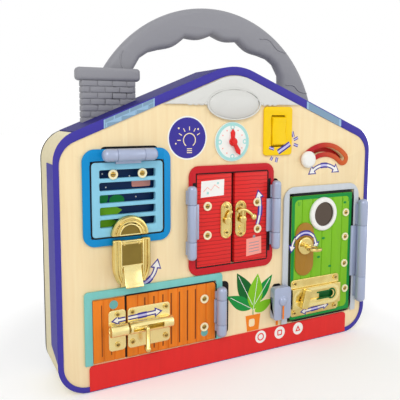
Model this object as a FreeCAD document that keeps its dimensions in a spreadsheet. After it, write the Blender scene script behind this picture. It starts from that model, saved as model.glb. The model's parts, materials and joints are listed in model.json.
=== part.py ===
import FreeCAD, Part
import math
import os
import re

import Sketcher
from FreeCAD import Placement, Rotation, Vector

# Wooden busy board in the shape of a house, standing on its bottom edge.
# Axes: +X to the right seen from the front, +Y towards the back, +Z up.
# The origin is the middle of the bottom face. All sizes are millimetres.

doc = FreeCAD.newDocument("busy_board")
sheet = doc.addObject("Spreadsheet::Sheet", "Sizes")

SIZES = {
    # Wooden case
    "board_width": 350.0,
    "eave_height": 223.0,
    "ridge_height": 294.0,
    "board_depth": 57.0,
    "front_thickness": 6.0,
    "back_thickness": 6.0,
    "wall_thickness": 12.0,
    "case_corner": 17.0,
    "ridge_round": 54.0,
    "backer_thickness": 3.0,
    "backer_gap": 0.4,
    "strip_width": 295.0,
    "strip_height": 18.5,
    "strip_thickness": 1.2,
    # Blue edge trim
    "trim_thickness": 0.8,
    "trim_side_border": 5.0,
    "trim_roof_border": 8.0,
    "trim_corner": 28.0,
    "trim_inner_corner": 22.0,
    "trim_flange": 25.0,
    "trim_corner_gap": 31.0,
    "trim_slant": 8.0,
    # Chimney and carrying handle
    "chimney_side": 60.5,
    "chimney_width": 51.0,
    "chimney_depth": 10.0,
    "chimney_front": 33.0,
    "chimney_top": 275.0,
    "cap_width": 61.0,
    "cap_height": 12.0,
    "cap_overhang": 1.5,
    "brick_row": 5.6,
    "brick_length": 14.0,
    "mortar_width": 0.9,
    "mortar_depth": 0.8,
    "handle_thickness": 13.4,
    "handle_centre_height": 217.0,
    "handle_outer_radius": 135.0,
    "handle_inner_radius": 108.0,
    "handle_shoulder": 287.0,
    "handle_lean": 2.0,
    "handle_lobe_height": 4.0,
    "handle_lobe_angle": 16.5,
    "handle_foot_inner": 88.0,
    "handle_edge_round": 3.0,
    "handle_screw_place": 111.0,
    "handle_screw_inset": 3.5,
    "handle_screw_spacing": 24.0,
    # Doors, frames and their openings in the front
    "frame_thickness": 2.0,
    "leaf_thickness": 5.0,
    "frame_band": 7.0,
    "window_centre": -110.0,
    "window_bottom": 137.5,
    "window_width": 68.0,
    "window_height": 67.0,
    "window_gap": 1.0,
    "window_corner": 3.0,
    "window_frame_corner": 11.0,
    "window_head_band": 10.5,
    "louvre_count": 5.0,
    "louvre_pitch": 10.8,
    "louvre_opening": 7.4,
    "louvre_stile": 7.0,
    "louvre_head": 6.5,
    "louvre_corner": 1.5,
    "red_centre": -2.25,
    "red_bottom": 98.5,
    "red_width": 81.5,
    "red_height": 91.0,
    "red_gap": 1.0,
    "red_middle_gap": 4.0,
    "red_frame_corner": 10.0,
    "green_centre": 110.0,
    "green_bottom": 24.5,
    "green_width": 88.0,
    "green_height": 138.5,
    "green_gap": 3.0,
    "green_frame_corner": 14.0,
    "gate_centre": -67.0,
    "gate_bottom": 24.5,
    "gate_width": 93.0,
    "gate_height": 59.5,
    "gate_gap": 1.2,
    "plank_pitch": 11.3,
    "plank_groove": 0.8,
    "post_width": 30.0,
    "post_gap": 0.8,
    # Hinges
    "hinge_pin_radius": 1.2,
    "running_gap": 0.05,
    "knuckle_gap": 0.3,
    "seat_gap": 0.3,
    "strap_thickness": 2.0,
    "door_barrel_radius": 4.5,
    "door_hinge_length": 70.0,
    "door_strap_reach": 12.0,
    "door_hinge_offset": 6.75,
    "door_hinge_rise": 0.8,
    "flange_reach": 6.5,
    "shutter_barrel_radius": 5.5,
    "shutter_hinge_length": 50.0,
    "shutter_hinge_height": 210.0,
    "shutter_strap_reach": 12.0,
    "green_barrel_radius": 5.5,
    "green_hinge_length": 116.0,
    "green_hinge_centre": 94.0,
    "green_hinge_offset": 7.5,
    "green_strap_reach": 14.5,
    "gate_barrel_radius": 5.0,
    "gate_hinge_length": 50.0,
    "gate_hinge_offset": 3.0,
    "gate_hinge_centre": 54.0,
    "gate_strap_reach": 11.0,
    # Hook on the red doors
    "plate_thickness": 1.2,
    "hook_plate_width": 12.5,
    "hook_plate_height": 36.0,
    "hook_height": 143.0,
    "hook_rod_radius": 1.6,
    "hook_standoff": 2.4,
    "hook_eye_radius": 3.6,
    "hook_stud_radius": 1.5,
    "hook_stud_head": 3.0,
    "hook_rise": 9.0,
    "hook_ball_radius": 3.4,
    "catch_post_radius": 1.5,
    # Case latch below the window
    "latch_width": 35.0,
    "latch_rail": 6.6,
    "latch_length": 36.0,
    "latch_pivot_height": 133.0,
    "latch_pivot_reach": 5.6,
    "latch_head_radius": 3.2,
    "latch_barrel_radius": 2.9,
    "latch_panel_height": 11.0,
    "latch_panel_thickness": 2.0,
    "latch_base_width": 16.0,
    "latch_base_bottom": 91.5,
    "latch_side_gap": 0.4,
    "latch_scoop": 32.0,
    "latch_tongue": 21.0,
    "catch_radius": 17.5,
    "catch_rim": 3.0,
    "catch_rim_height": 3.6,
    "catch_window_radius": 9.5,
    "catch_clearance": 0.6,
    # Porthole, key lock and slide bolt on the green door
    "porthole_height": 139.0,
    "porthole_radius": 18.0,
    "porthole_inner": 13.0,
    "porthole_rise": 3.2,
    "mirror_thickness": 1.2,
    "lock_offset": -24.0,
    "lock_height": 103.0,
    "escutcheon_width": 24.0,
    "escutcheon_height": 57.0,
    "cylinder_height": 107.0,
    "cylinder_radius": 9.5,
    "cylinder_rise": 2.2,
    "cylinder_barrel": 6.0,
    "cam_length": 13.0,
    "cam_width": 7.0,
    "cam_thickness": 2.0,
    "key_shank_radius": 2.6,
    "key_shank_length": 6.0,
    "key_bow_radius": 8.0,
    "key_bow_hole": 3.4,
    "key_bow_thickness": 3.2,
    "slide_plate_width": 65.0,
    "slide_plate_height": 40.0,
    "slide_plate_edge": 0.3,
    "slide_height": 51.0,
    "slide_channel_height": 22.0,
    "slide_channel_rise": 3.6,
    "slide_channel_wall": 1.2,
    "slide_bar_height": 12.0,
    "slide_bar_gap": 0.15,
    "slide_bar_length": 36.0,
    "slide_slot_height": 5.4,
    "slide_slot_end": 4.1,
    "slide_handle_place": 15.0,
    "slide_stem_width": 4.8,
    "slide_handle_width": 8.0,
    "slide_handle_height": 21.0,
    "slide_handle_depth": 5.0,
    "slide_handle_tilt": 14.0,
    "slide_throw": 8.0,
    "slide_draw": 34.0,
    "keeper_width": 21.0,
    "keeper_height": 34.0,
    "keeper_gap": 1.0,
    "keeper_rise": 7.6,
    "keeper_button": 4.2,
    # Barrel bolt on the gate
    "bolt_plate_width": 41.5,
    "bolt_plate_height": 37.5,
    "bolt_height": 55.0,
    "bolt_plate_drop": 1.8,
    "bolt_tube_radius": 5.4,
    "bolt_rod_radius": 3.4,
    "bolt_rod_length": 36.0,
    "bolt_handle_place": 14.5,
    "bolt_handle_width": 4.0,
    "bolt_handle_length": 19.0,
    "bolt_throw": 10.0,
    "bolt_draw": 15.0,
    "bolt_keeper_width": 16.0,
    "bolt_keeper_gap": 1.9,
    # Clock
    "clock_centre": -3.5,
    "clock_height": 218.5,
    "clock_radius": 19.0,
    "clock_thickness": 1.5,
    "clock_pin_radius": 1.5,
    "hour_length": 12.5,
    "minute_length": 15.0,
    "hand_width": 3.4,
    "hand_thickness": 1.2,
    "hand_hub": 4.0,
    "hour_angle": 0.0,
    "minute_angle": 150.0,
    # Light switch
    "switch_centre": 49.7,
    "switch_height": 228.0,
    "switch_plate_width": 34.5,
    "switch_plate_height": 48.5,
    "switch_plate_thickness": 2.4,
    "rocker_width": 15.5,
    "rocker_height": 30.0,
    "rocker_rise": 3.0,
    "rocker_drop": 3.0,
    "rocker_tilt": 8.0,
    "rocker_gap": 0.6,
    "rocker_pin": 1.2,
    "switch_box_depth": 14.0,
    "switch_box_wall": 1.6,
    # Curved slider
    "slider_centre": 112.0,
    "slider_height": 172.5,
    "slider_radius": 35.0,
    "slider_start": 133.0,
    "slider_end": 45.0,
    "track_width": 15.0,
    "track_thickness": 1.2,
    "slot_width": 5.0,
    "slider_stem": 2.2,
    "slider_knob_radius": 8.6,
    "slider_knob_rise": 4.5,
    "slider_washer_radius": 6.0,
    "slider_washer": 1.6,
    # Lamp under the ridge
    "lamp_bottom": 254.0,
    "lamp_border_gap": 0.6,
    "lamp_thickness": 2.6,
    "lamp_centre": -2.0,
    "dome_half_width": 29.0,
    "dome_half_height": 14.5,
    "dome_rise": 8.0,
    "dome_wall": 1.8,
    "dome_gap": 0.3,
    "lamp_hole_width": 40.0,
    "lamp_hole_height": 12.0,
    "lamp_scallop": 2.0,
    "circuit_width": 64.0,
    "circuit_height": 20.0,
    "circuit_thickness": 1.6,
    "led_radius": 2.5,
    "led_length": 8.0,
    "led_spacing": 14.0,
    # Batteries
    "cell_radius": 7.1,
    "cell_length": 49.5,
    "cell_gap": 0.5,
    "box_wall": 2.0,
    "battery_height": 70.0,
    "cover_thickness": 2.5,
    "cover_margin": 5.0,
    "cover_gap": 0.3,
    "wire_radius": 0.9,
    "wire_spacing": 5.0,
    "wire_bend": 10.0,
    # Wood screws
    "screw_radius": 1.6,
    "screw_head_radius": 3.6,
    "screw_head_height": 2.4,
    "screw_length": 22.0,
    "screw_inset": 6.0,
}

for row, (alias, value) in enumerate(SIZES.items(), start=1):
    sheet.set("A%d" % row, alias)
    sheet.set("B%d" % row, str(value))
    sheet.setAlias("B%d" % row, alias)
doc.recompute()


class Sheet:
    """The values of the sheet as plain numbers, read by name."""

    def __getattr__(self, alias):
        return float(sheet.get(alias))


dim = Sheet()
ALIAS = re.compile(r"\b(%s)\b" % "|".join(sorted(SIZES, key=len, reverse=True)))


def linked(text):
    """An expression in which each size is read from the sheet."""
    return ALIAS.sub(lambda found: "Sizes." + found.group(1), str(text))


def bind(obj, prop, text):
    obj.setExpression(prop, linked(text))


# Planes that many pieces share
FACE = "(0 - board_depth / 2)"
LEAF = "(0 - board_depth / 2 - frame_thickness)"
PANEL_BACK = "(0 - board_depth / 2 + front_thickness)"
RING_BACK = "(board_depth / 2 - back_thickness)"
SLOPE = "((ridge_height - eave_height) / (board_width / 2))"
SECANT = "sqrt(1 + ((ridge_height - eave_height) / (board_width / 2))^2)"

face_y = -dim.board_depth / 2
chimney_x = dim.chimney_side - dim.board_width / 2
leaf_y = face_y - dim.frame_thickness
slope = (dim.ridge_height - dim.eave_height) / (dim.board_width / 2)
roof_angle = math.degrees(math.atan(slope))

nodes = []


def node(obj, label):
    """Marks an object as a sub-part under its own label."""
    obj.Label = label
    nodes.append(obj)
    return obj


def place(obj, x, y, z):
    bind(obj, "Placement.Base.x", x)
    bind(obj, "Placement.Base.y", y)
    bind(obj, "Placement.Base.z", z)


def box(name, x, y, z, width, depth, height):
    """Box from its lowest corner."""
    solid = doc.addObject("Part::Box", name)
    bind(solid, "Length", width)
    bind(solid, "Width", depth)
    bind(solid, "Height", height)
    place(solid, x, y, z)
    return solid


def block(name, x, y, z, width, depth, height):
    """Box centred on x, from y backwards and from z upwards."""
    return box(name, "%s - (%s) / 2" % (x, width), y, z, width, depth, height)


ALONG = {
    "X": Rotation(Vector(0, 1, 0), 90),
    "Y": Rotation(Vector(1, 0, 0), -90),
    "Z": Rotation(),
}


def rod(name, axis, radius, length, x, y, z):
    """Cylinder from its start point along one axis."""
    cylinder = doc.addObject("Part::Cylinder", name)
    cylinder.Placement = Placement(Vector(), ALONG[axis])
    bind(cylinder, "Radius", radius)
    bind(cylinder, "Height", length)
    place(cylinder, x, y, z)
    return cylinder


def fuse(name, pieces):
    union = doc.addObject("Part::MultiFuse", name)
    union.Shapes = pieces
    union.Refine = True
    return union


def group(name, pieces):
    """Separate solids that share one node."""
    compound = doc.addObject("Part::Compound", name)
    compound.Links = pieces
    return compound


def cut(name, base, tools):
    tool = tools[0] if len(tools) == 1 else fuse(name + "_tools", tools)
    result = doc.addObject("Part::Cut", name)
    result.Base = base
    result.Tool = tool
    result.Refine = True
    return result


def shape(name, solid):
    """Free-form solid whose sizes come from the sheet."""
    feature = doc.addObject("Part::Feature", name)
    feature.Shape = solid
    feature.Placement = Placement()
    return feature


def origin_plane(body, role):
    return next(item for item in body.Origin.OriginFeatures if item.Role == role)


def front_sketch(body, name):
    sketch = body.newObject("Sketcher::SketchObject", name)
    sketch.AttachmentSupport = (origin_plane(body, "XZ_Plane"), [""])
    sketch.MapMode = "FlatFace"
    return sketch


def size_constraint(sketch, constraint, name, text):
    index = sketch.addConstraint(constraint)
    sketch.renameConstraint(index, name)
    sketch.setExpression("Constraints." + name, linked(text))


def pad_back(body, sketch, name, depth):
    """Pad from the sketch towards the back of the board."""
    pad = body.newObject("PartDesign::Pad", name)
    pad.Profile = sketch
    pad.Reversed = True
    bind(pad, "Length", depth)
    doc.recompute()
    return pad


def round_edges(body, base, name, radius, keep):
    """Fillet on the edges along Y whose middle point passes the test."""
    names = []
    for index, edge in enumerate(base.Shape.Edges, start=1):
        ends = [vertex.Point for vertex in edge.Vertexes]
        if len(ends) != 2:
            continue
        run = ends[1] - ends[0]
        middle = (ends[0] + ends[1]) * 0.5
        if abs(run.x) < 1e-6 and abs(run.z) < 1e-6 and keep(middle):
            names.append("Edge%d" % index)
    fillet = body.newObject("PartDesign::Fillet", name)
    fillet.Base = (base, names)
    bind(fillet, "Radius", radius)
    doc.recompute()
    return fillet


def plate(name, x, y, z, width, depth, height, corner=None):
    """Board with rounded corners, centred on x and z, from y backwards."""
    body = doc.addObject("PartDesign::Body", name)
    place(body, x, y, z)
    sketch = front_sketch(body, name + "_outline")
    corners = [Vector(-9, -9, 0), Vector(9, -9, 0), Vector(9, 9, 0), Vector(-9, 9, 0)]
    for start, end in zip(corners, corners[1:] + corners[:1]):
        sketch.addGeometry(Part.LineSegment(start, end), False)
    for side in range(4):
        sketch.addConstraint(Sketcher.Constraint("Coincident", side, 2, (side + 1) % 4, 1))
    for side in (0, 2):
        sketch.addConstraint(Sketcher.Constraint("Horizontal", side))
    for side in (1, 3):
        sketch.addConstraint(Sketcher.Constraint("Vertical", side))
    sketch.addConstraint(Sketcher.Constraint("Symmetric", 0, 1, 2, 1, -1, 1))
    size_constraint(sketch, Sketcher.Constraint("DistanceX", 0, 1, 0, 2, 18), "Width", width)
    size_constraint(sketch, Sketcher.Constraint("DistanceY", 1, 1, 1, 2, 18), "Height", height)
    pad = pad_back(body, sketch, name + "_pad", depth)
    if corner is not None:
        round_edges(body, pad, name + "_corners", corner, lambda middle: True)
    return body


def house(name, side_inset, roof_inset, floor, y, depth, corner, ridge):
    """Five-sided board: walls, and two roof slopes with a rounded ridge."""
    body = doc.addObject("PartDesign::Body", name)
    half = "(board_width / 2 - (%s))" % side_inset
    top = "(ridge_height - (%s) * %s)" % (roof_inset, SECANT)
    place(body, "0", y, floor)
    sketch = front_sketch(body, name + "_outline")
    wide = dim.board_width / 2
    points = [
        Vector(-wide, 0, 0),
        Vector(wide, 0, 0),
        Vector(wide, dim.eave_height, 0),
        Vector(0, dim.ridge_height, 0),
        Vector(-wide, dim.eave_height, 0),
    ]
    for start, end in zip(points, points[1:] + points[:1]):
        sketch.addGeometry(Part.LineSegment(start, end), False)
    for side in range(5):
        sketch.addConstraint(Sketcher.Constraint("Coincident", side, 2, (side + 1) % 5, 1))
    sketch.addConstraint(Sketcher.Constraint("PointOnObject", 0, 1, -1))
    sketch.addConstraint(Sketcher.Constraint("PointOnObject", 3, 1, -2))
    sketch.addConstraint(Sketcher.Constraint("Symmetric", 0, 1, 0, 2, -2))
    sketch.addConstraint(Sketcher.Constraint("Symmetric", 2, 1, 4, 1, -2))
    sketch.addConstraint(Sketcher.Constraint("Vertical", 1))
    size_constraint(
        sketch, Sketcher.Constraint("DistanceX", 0, 1, 0, 2, 2 * wide), "Width", "2 * " + half
    )
    size_constraint(
        sketch,
        Sketcher.Constraint("DistanceY", 1, 1, 1, 2, dim.eave_height),
        "Eaves",
        "%s - %s * %s - %s" % (top, SLOPE, half, floor),
    )
    size_constraint(
        sketch,
        Sketcher.Constraint("DistanceY", 0, 1, 3, 1, dim.ridge_height),
        "Ridge",
        "%s - %s" % (top, floor),
    )
    pad = pad_back(body, sketch, name + "_pad", depth)
    rounded = round_edges(body, pad, name + "_corners", corner, lambda middle: abs(middle.x) > 1)
    round_edges(body, rounded, name + "_ridge", ridge, lambda middle: abs(middle.x) < 1e-3)
    return body


def prism(edges, y, depth):
    """Solid from a closed outline of edges drawn at height y."""
    wire = Part.Wire(Part.__sortEdges__(edges))
    return Part.Face(wire).extrude(Vector(0, depth, 0))


def at(x, z, y=0.0):
    return Vector(x, y, z)


def polar(x, z, radius, degrees, y=0.0):
    """Point on a circle, measured from +X towards +Z."""
    turn = math.radians(degrees)
    return Vector(x + radius * math.cos(turn), y, z + radius * math.sin(turn))


def arc(start, middle, end):
    return Part.Arc(start, middle, end).toShape()


def line(start, end):
    return Part.LineSegment(start, end).toShape()


def ring_sector(x, z, radius, width, first, last, y, depth):
    """Curved slot or band with round ends, between two angles."""
    outer = radius + width / 2
    inner = radius - width / 2
    middle = (first + last) / 2
    edges = [
        arc(polar(x, z, outer, first, y), polar(x, z, outer, middle, y), polar(x, z, outer, last, y)),
        arc(polar(x, z, inner, first, y), polar(x, z, inner, middle, y), polar(x, z, inner, last, y)),
    ]
    for degrees, side in ((first, -1), (last, 1)):
        tip = polar(x, z, radius, degrees, y) + Vector(
            -side * math.sin(math.radians(degrees)) * width / 2,
            0,
            side * math.cos(math.radians(degrees)) * width / 2,
        )
        edges.append(arc(polar(x, z, outer, degrees, y), tip, polar(x, z, inner, degrees, y)))
    return prism(edges, y, depth)


# Wooden case: front board, frame of walls, back board

WOOD = ("trim_thickness", "trim_thickness", "0")
WOOD_CORNER = "trim_corner - trim_thickness"
WOOD_RIDGE = "ridge_round - trim_thickness"
WALL = "(trim_thickness + wall_thickness)"

secant = math.hypot(1, slope)
roof_normal = Vector(slope, 0, 1) * (1 / secant)
wood_ridge = dim.ridge_height - dim.trim_thickness * secant


def roof_point(x, y):
    return Vector(x, y, wood_ridge - slope * abs(x))


def wood_screw(seat, way, grow=0.0):
    """Screw whose head rests on the seat; grown by a clearance it is the hole."""
    shank = Part.makeCylinder(dim.screw_radius + grow, dim.screw_length, seat, way)
    head = Part.makeCylinder(
        dim.screw_head_radius + grow, dim.screw_head_height + grow, seat, way * -1
    )
    return shank.fuse(head)


back_way = Vector(0, -1, 0)
back_seat_y = dim.board_depth / 2 - dim.screw_head_height
side_x = dim.board_width / 2 - dim.trim_thickness - dim.screw_inset
low_z = dim.screw_inset
screw_seats = []
for side in (-1, 1):
    for x, z in (
        (side_x, dim.eave_height - dim.trim_corner),
        (dim.board_width / 3, low_z),
        (dim.board_width / 5, wood_ridge - slope * dim.board_width / 5 - dim.screw_inset * secant),
    ):
        screw_seats.append((Vector(side * x, back_seat_y, z), back_way))
handle_front = dim.board_depth / 2 - dim.handle_thickness
chimney_y = face_y + dim.chimney_front + dim.chimney_depth / 2
for side in (-1, 1):
    normal = Vector(side * roof_normal.x, 0, roof_normal.z)
    for shift in (-0.5, 0.5):
        foot_x = side * (dim.handle_screw_place + shift * dim.handle_screw_spacing)
        top = roof_point(foot_x, handle_front + dim.handle_screw_inset)
        screw_seats.append((top - normal * dim.wall_thickness, normal))
left_normal = Vector(-roof_normal.x, 0, roof_normal.z)
for shift in (-0.5, 0.5):
    brick_x = chimney_x + shift * dim.handle_screw_spacing
    top = roof_point(brick_x, chimney_y)
    screw_seats.append((top - left_normal * dim.wall_thickness, left_normal))

screws = Part.makeCompound([wood_screw(seat, way) for seat, way in screw_seats])
screw_holes = shape(
    "screw_holes",
    Part.makeCompound([wood_screw(seat, way, dim.running_gap) for seat, way in screw_seats]),
)
node(shape("screws", screws), "wood_screws")

ring_depth = "%s - %s" % (RING_BACK, PANEL_BACK)
ring_outside = house("ring_outside", *WOOD, PANEL_BACK, ring_depth, WOOD_CORNER, WOOD_RIDGE)
ring_inside = house(
    "ring_inside", WALL, WALL, "wall_thickness", PANEL_BACK, ring_depth, "case_corner",
    "ridge_round - " + WALL,
)
node(cut("ring", ring_outside, [ring_inside, screw_holes]), "case_ring")

# Openings that pass through the front board
window_hole = block(
    "window_hole", "window_centre", FACE, "window_bottom", "window_width", "front_thickness",
    "window_height",
)
red_hole = block(
    "red_hole", "red_centre", FACE, "red_bottom", "red_width", "front_thickness", "red_height"
)
green_hole = block(
    "green_hole", "green_centre", FACE, "green_bottom", "green_width", "front_thickness",
    "green_height",
)
gate_hole = block(
    "gate_hole", "gate_centre", FACE, "gate_bottom", "gate_width", "front_thickness",
    "gate_height",
)
SWITCH_BOX_WIDTH = "(rocker_width + 2 * rocker_gap + 2 * switch_box_wall)"
SWITCH_BOX_HEIGHT = "(rocker_height + 2 * rocker_gap + 2 * switch_box_wall)"
switch_hole = block(
    "switch_hole", "switch_centre", FACE, "switch_height - %s / 2 - seat_gap" % SWITCH_BOX_HEIGHT,
    SWITCH_BOX_WIDTH + " + 2 * seat_gap", "front_thickness", SWITCH_BOX_HEIGHT + " + 2 * seat_gap",
)
lamp_hole = block(
    "lamp_hole", "lamp_centre", FACE, "lamp_bottom - lamp_hole_height / 2", "lamp_hole_width",
    "front_thickness", "lamp_hole_height",
)
pin_hole = rod(
    "pin_hole", "Y", "clock_pin_radius + running_gap", "front_thickness", "clock_centre", FACE,
    "clock_height",
)
slider_slot = shape(
    "slider_slot",
    ring_sector(
        dim.slider_centre, dim.slider_height, dim.slider_radius, dim.slot_width,
        dim.slider_end, dim.slider_start, face_y - dim.track_thickness,
        dim.front_thickness + dim.track_thickness,
    ),
)
front_board = house("front_board", *WOOD, FACE, "front_thickness", WOOD_CORNER, WOOD_RIDGE)
node(
    cut(
        "front", front_board,
        [window_hole, red_hole, green_hole, gate_hole, switch_hole, lamp_hole, pin_hole,
         slider_slot],
    ),
    "front_panel",
)

# Sheet behind the openings, cut back around the slider and the switch
backer_sheet = block(
    "backer_sheet", "0", PANEL_BACK, "wall_thickness + backer_gap",
    "board_width - 2 * %s - 2 * backer_gap" % WALL, "backer_thickness",
    "window_bottom + window_height - wall_thickness",
)
backer_corners = [
    rod(
        "backer_corner_%d" % side, "Y", "case_corner", "backer_thickness",
        "%d * (board_width / 2 - %s)" % (side, WALL), PANEL_BACK, "wall_thickness",
    )
    for side in (-1, 1)
]
slider_room = block(
    "slider_room", "slider_centre", PANEL_BACK, "green_bottom + green_height + slider_washer",
    "2 * (slider_radius + slider_knob_radius + slider_washer_radius)", "backer_thickness",
    "board_width / 4",
)
switch_room = block(
    "switch_room", "switch_centre", PANEL_BACK,
    "switch_height - %s / 2 - slider_washer" % SWITCH_BOX_HEIGHT,
    SWITCH_BOX_WIDTH + " + 2 * slider_washer", "backer_thickness", "board_width / 4",
)
node(
    cut("backer", backer_sheet, backer_corners + [slider_room, switch_room]), "picture_backer"
)

# Batteries in a box behind the back board, closed by a cover
CELLS_HEIGHT = "(4 * cell_radius + 3 * cell_gap)"
BOX_WIDTH = "(cell_length + 4 * cell_gap + 2 * box_wall)"
BOX_HEIGHT = "(%s + 2 * box_wall)" % CELLS_HEIGHT
COVER_FRONT = "(board_depth / 2 - cover_thickness)"
BOX_FRONT = "(%s - 2 * cell_radius - 2 * cell_gap - box_wall)" % COVER_FRONT
box_outside = block(
    "box_outside", "0", BOX_FRONT, "battery_height - %s / 2" % BOX_HEIGHT, BOX_WIDTH,
    "%s - %s" % (COVER_FRONT, BOX_FRONT), BOX_HEIGHT,
)
box_inside = block(
    "box_inside", "0", BOX_FRONT + " + box_wall", "battery_height - %s / 2" % CELLS_HEIGHT,
    BOX_WIDTH + " - 2 * box_wall", "2 * cell_radius + 2 * cell_gap + box_wall", CELLS_HEIGHT,
)
node(cut("battery_case", box_outside, [box_inside]), "battery_box")
cells = [
    rod(
        "cell_%d" % place_in_box, "X", "cell_radius", "cell_length", "0 - cell_length / 2",
        COVER_FRONT + " - cell_radius - cell_gap",
        "battery_height + %d * (cell_radius + cell_gap / 2)" % (2 * place_in_box - 1),
    )
    for place_in_box in (0, 1)
]
studs = [
    rod(
        "stud_%d" % place_in_box, "X", "cell_radius / 3", "cell_gap",
        "cell_length / 2" if place_in_box else "0 - cell_length / 2 - cell_gap",
        COVER_FRONT + " - cell_radius - cell_gap",
        "battery_height + %d * (cell_radius + cell_gap / 2)" % (2 * place_in_box - 1),
    )
    for place_in_box in (0, 1)
]
node(
    group("cells", [fuse("cell_unit_%d" % k, [cells[k], studs[k]]) for k in (0, 1)]), "batteries"
)
COVER_WIDTH = "(%s + 2 * cover_margin)" % BOX_WIDTH
COVER_HEIGHT = "(%s + 2 * cover_margin)" % BOX_HEIGHT
node(
    plate(
        "cover", "0", COVER_FRONT, "battery_height", COVER_WIDTH, "cover_thickness", COVER_HEIGHT,
        "frame_band / 2",
    ),
    "battery_cover",
)
cover_recess = plate(
    "cover_recess", "0", COVER_FRONT, "battery_height", COVER_WIDTH + " + 2 * cover_gap",
    "cover_thickness", COVER_HEIGHT + " + 2 * cover_gap", "frame_band / 2 + cover_gap",
)
box_hole = block(
    "box_hole", "0", RING_BACK, "battery_height - %s / 2 - cover_gap" % BOX_HEIGHT,
    BOX_WIDTH + " + 2 * cover_gap", "back_thickness", BOX_HEIGHT + " + 2 * cover_gap",
)
back_board = house("back_board", *WOOD, RING_BACK, "back_thickness", WOOD_CORNER, WOOD_RIDGE)
node(cut("back", back_board, [cover_recess, box_hole, screw_holes]), "back_panel")

# Blue edging: a flat border on the front, turned back over the walls and the roof
trim_outside = house(
    "trim_outside", "0", "0", "0", FACE + " - trim_thickness", "trim_flange + trim_thickness",
    "trim_corner", "ridge_round",
)
trim_case = house("trim_case", *WOOD, FACE, "trim_flange", WOOD_CORNER, WOOD_RIDGE)
trim_window = house(
    "trim_window", "trim_side_border", "trim_roof_border", "trim_side_border",
    FACE + " - trim_thickness", "trim_thickness", "trim_inner_corner",
    "ridge_round - trim_roof_border",
)
corner_gaps = []
for side in (-1, 1):
    for z in ("0", "eave_height"):
        cone = doc.addObject("Part::Cone", "corner_gap_%d" % len(corner_gaps))
        cone.Placement = Placement(Vector(), ALONG["Y"])
        bind(cone, "Radius1", "trim_corner_gap")
        bind(cone, "Radius2", "trim_corner_gap + trim_slant")
        bind(cone, "Height", "trim_flange")
        place(cone, "%d * board_width / 2" % side, FACE, z)
        corner_gaps.append(cone)
node(cut("trim", trim_outside, [trim_case, trim_window] + corner_gaps), "edge_trim")

# Brick chimney on the left slope, with its cap
CHIMNEY_Y = "(0 - board_depth / 2 + chimney_front)"
CHIMNEY_X = "(chimney_side - board_width / 2)"
CHIMNEY_LEFT = "(%s - chimney_width / 2)" % CHIMNEY_X
under_roof = shape(
    "under_roof",
    prism(
        [
            line(start, end)
            for start, end in (
                (roof_point(-dim.board_width, face_y), roof_point(0, face_y)),
                (roof_point(0, face_y), roof_point(dim.board_width, face_y)),
                (roof_point(dim.board_width, face_y), at(dim.board_width, -1, face_y)),
                (at(dim.board_width, -1, face_y), at(-dim.board_width, -1, face_y)),
                (at(-dim.board_width, -1, face_y), roof_point(-dim.board_width, face_y)),
            )
        ],
        face_y, dim.board_depth,
    ),
)
chimney_foot = wood_ridge - slope * (dim.chimney_width / 2 - chimney_x)
chimney_block = block(
    "chimney_block", CHIMNEY_X, CHIMNEY_Y, "eave_height", "chimney_width", "chimney_depth",
    "chimney_top - eave_height",
)
mortar = []
rows = int((dim.chimney_top - chimney_foot) / dim.brick_row)
for row in range(1, rows + 1):
    level = "(chimney_top - %d * brick_row)" % row
    mortar.append(
        box(
            "bed_%d" % row, CHIMNEY_LEFT, CHIMNEY_Y, level, "chimney_width", "mortar_depth",
            "mortar_width",
        )
    )
    mortar.append(
        box(
            "side_bed_%d" % row, CHIMNEY_LEFT, CHIMNEY_Y, level, "mortar_depth", "chimney_depth",
            "mortar_width",
        )
    )
bricks = int(dim.chimney_width / dim.brick_length) + 1
for row in range(rows + 1):
    for joint in range(1, bricks + 1):
        shift = joint - 0.5 * (row % 2)
        if shift * dim.brick_length > dim.chimney_width - 2 * dim.mortar_width:
            continue
        mortar.append(
            box(
                "head_%d_%d" % (row, joint), "%s + %s * brick_length" % (CHIMNEY_LEFT, shift),
                CHIMNEY_Y, "chimney_top - %d * brick_row" % (row + 1), "mortar_width",
                "mortar_depth", "brick_row",
            )
        )
node(cut("bricks", chimney_block, mortar + [under_roof, screw_holes]), "chimney")
node(
    plate(
        "cap", CHIMNEY_X, CHIMNEY_Y + " - cap_overhang", "chimney_top + cap_height / 2",
        "cap_width", "chimney_depth + cap_overhang", "cap_height", "cap_overhang",
    ),
    "chimney_cap",
)


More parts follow.
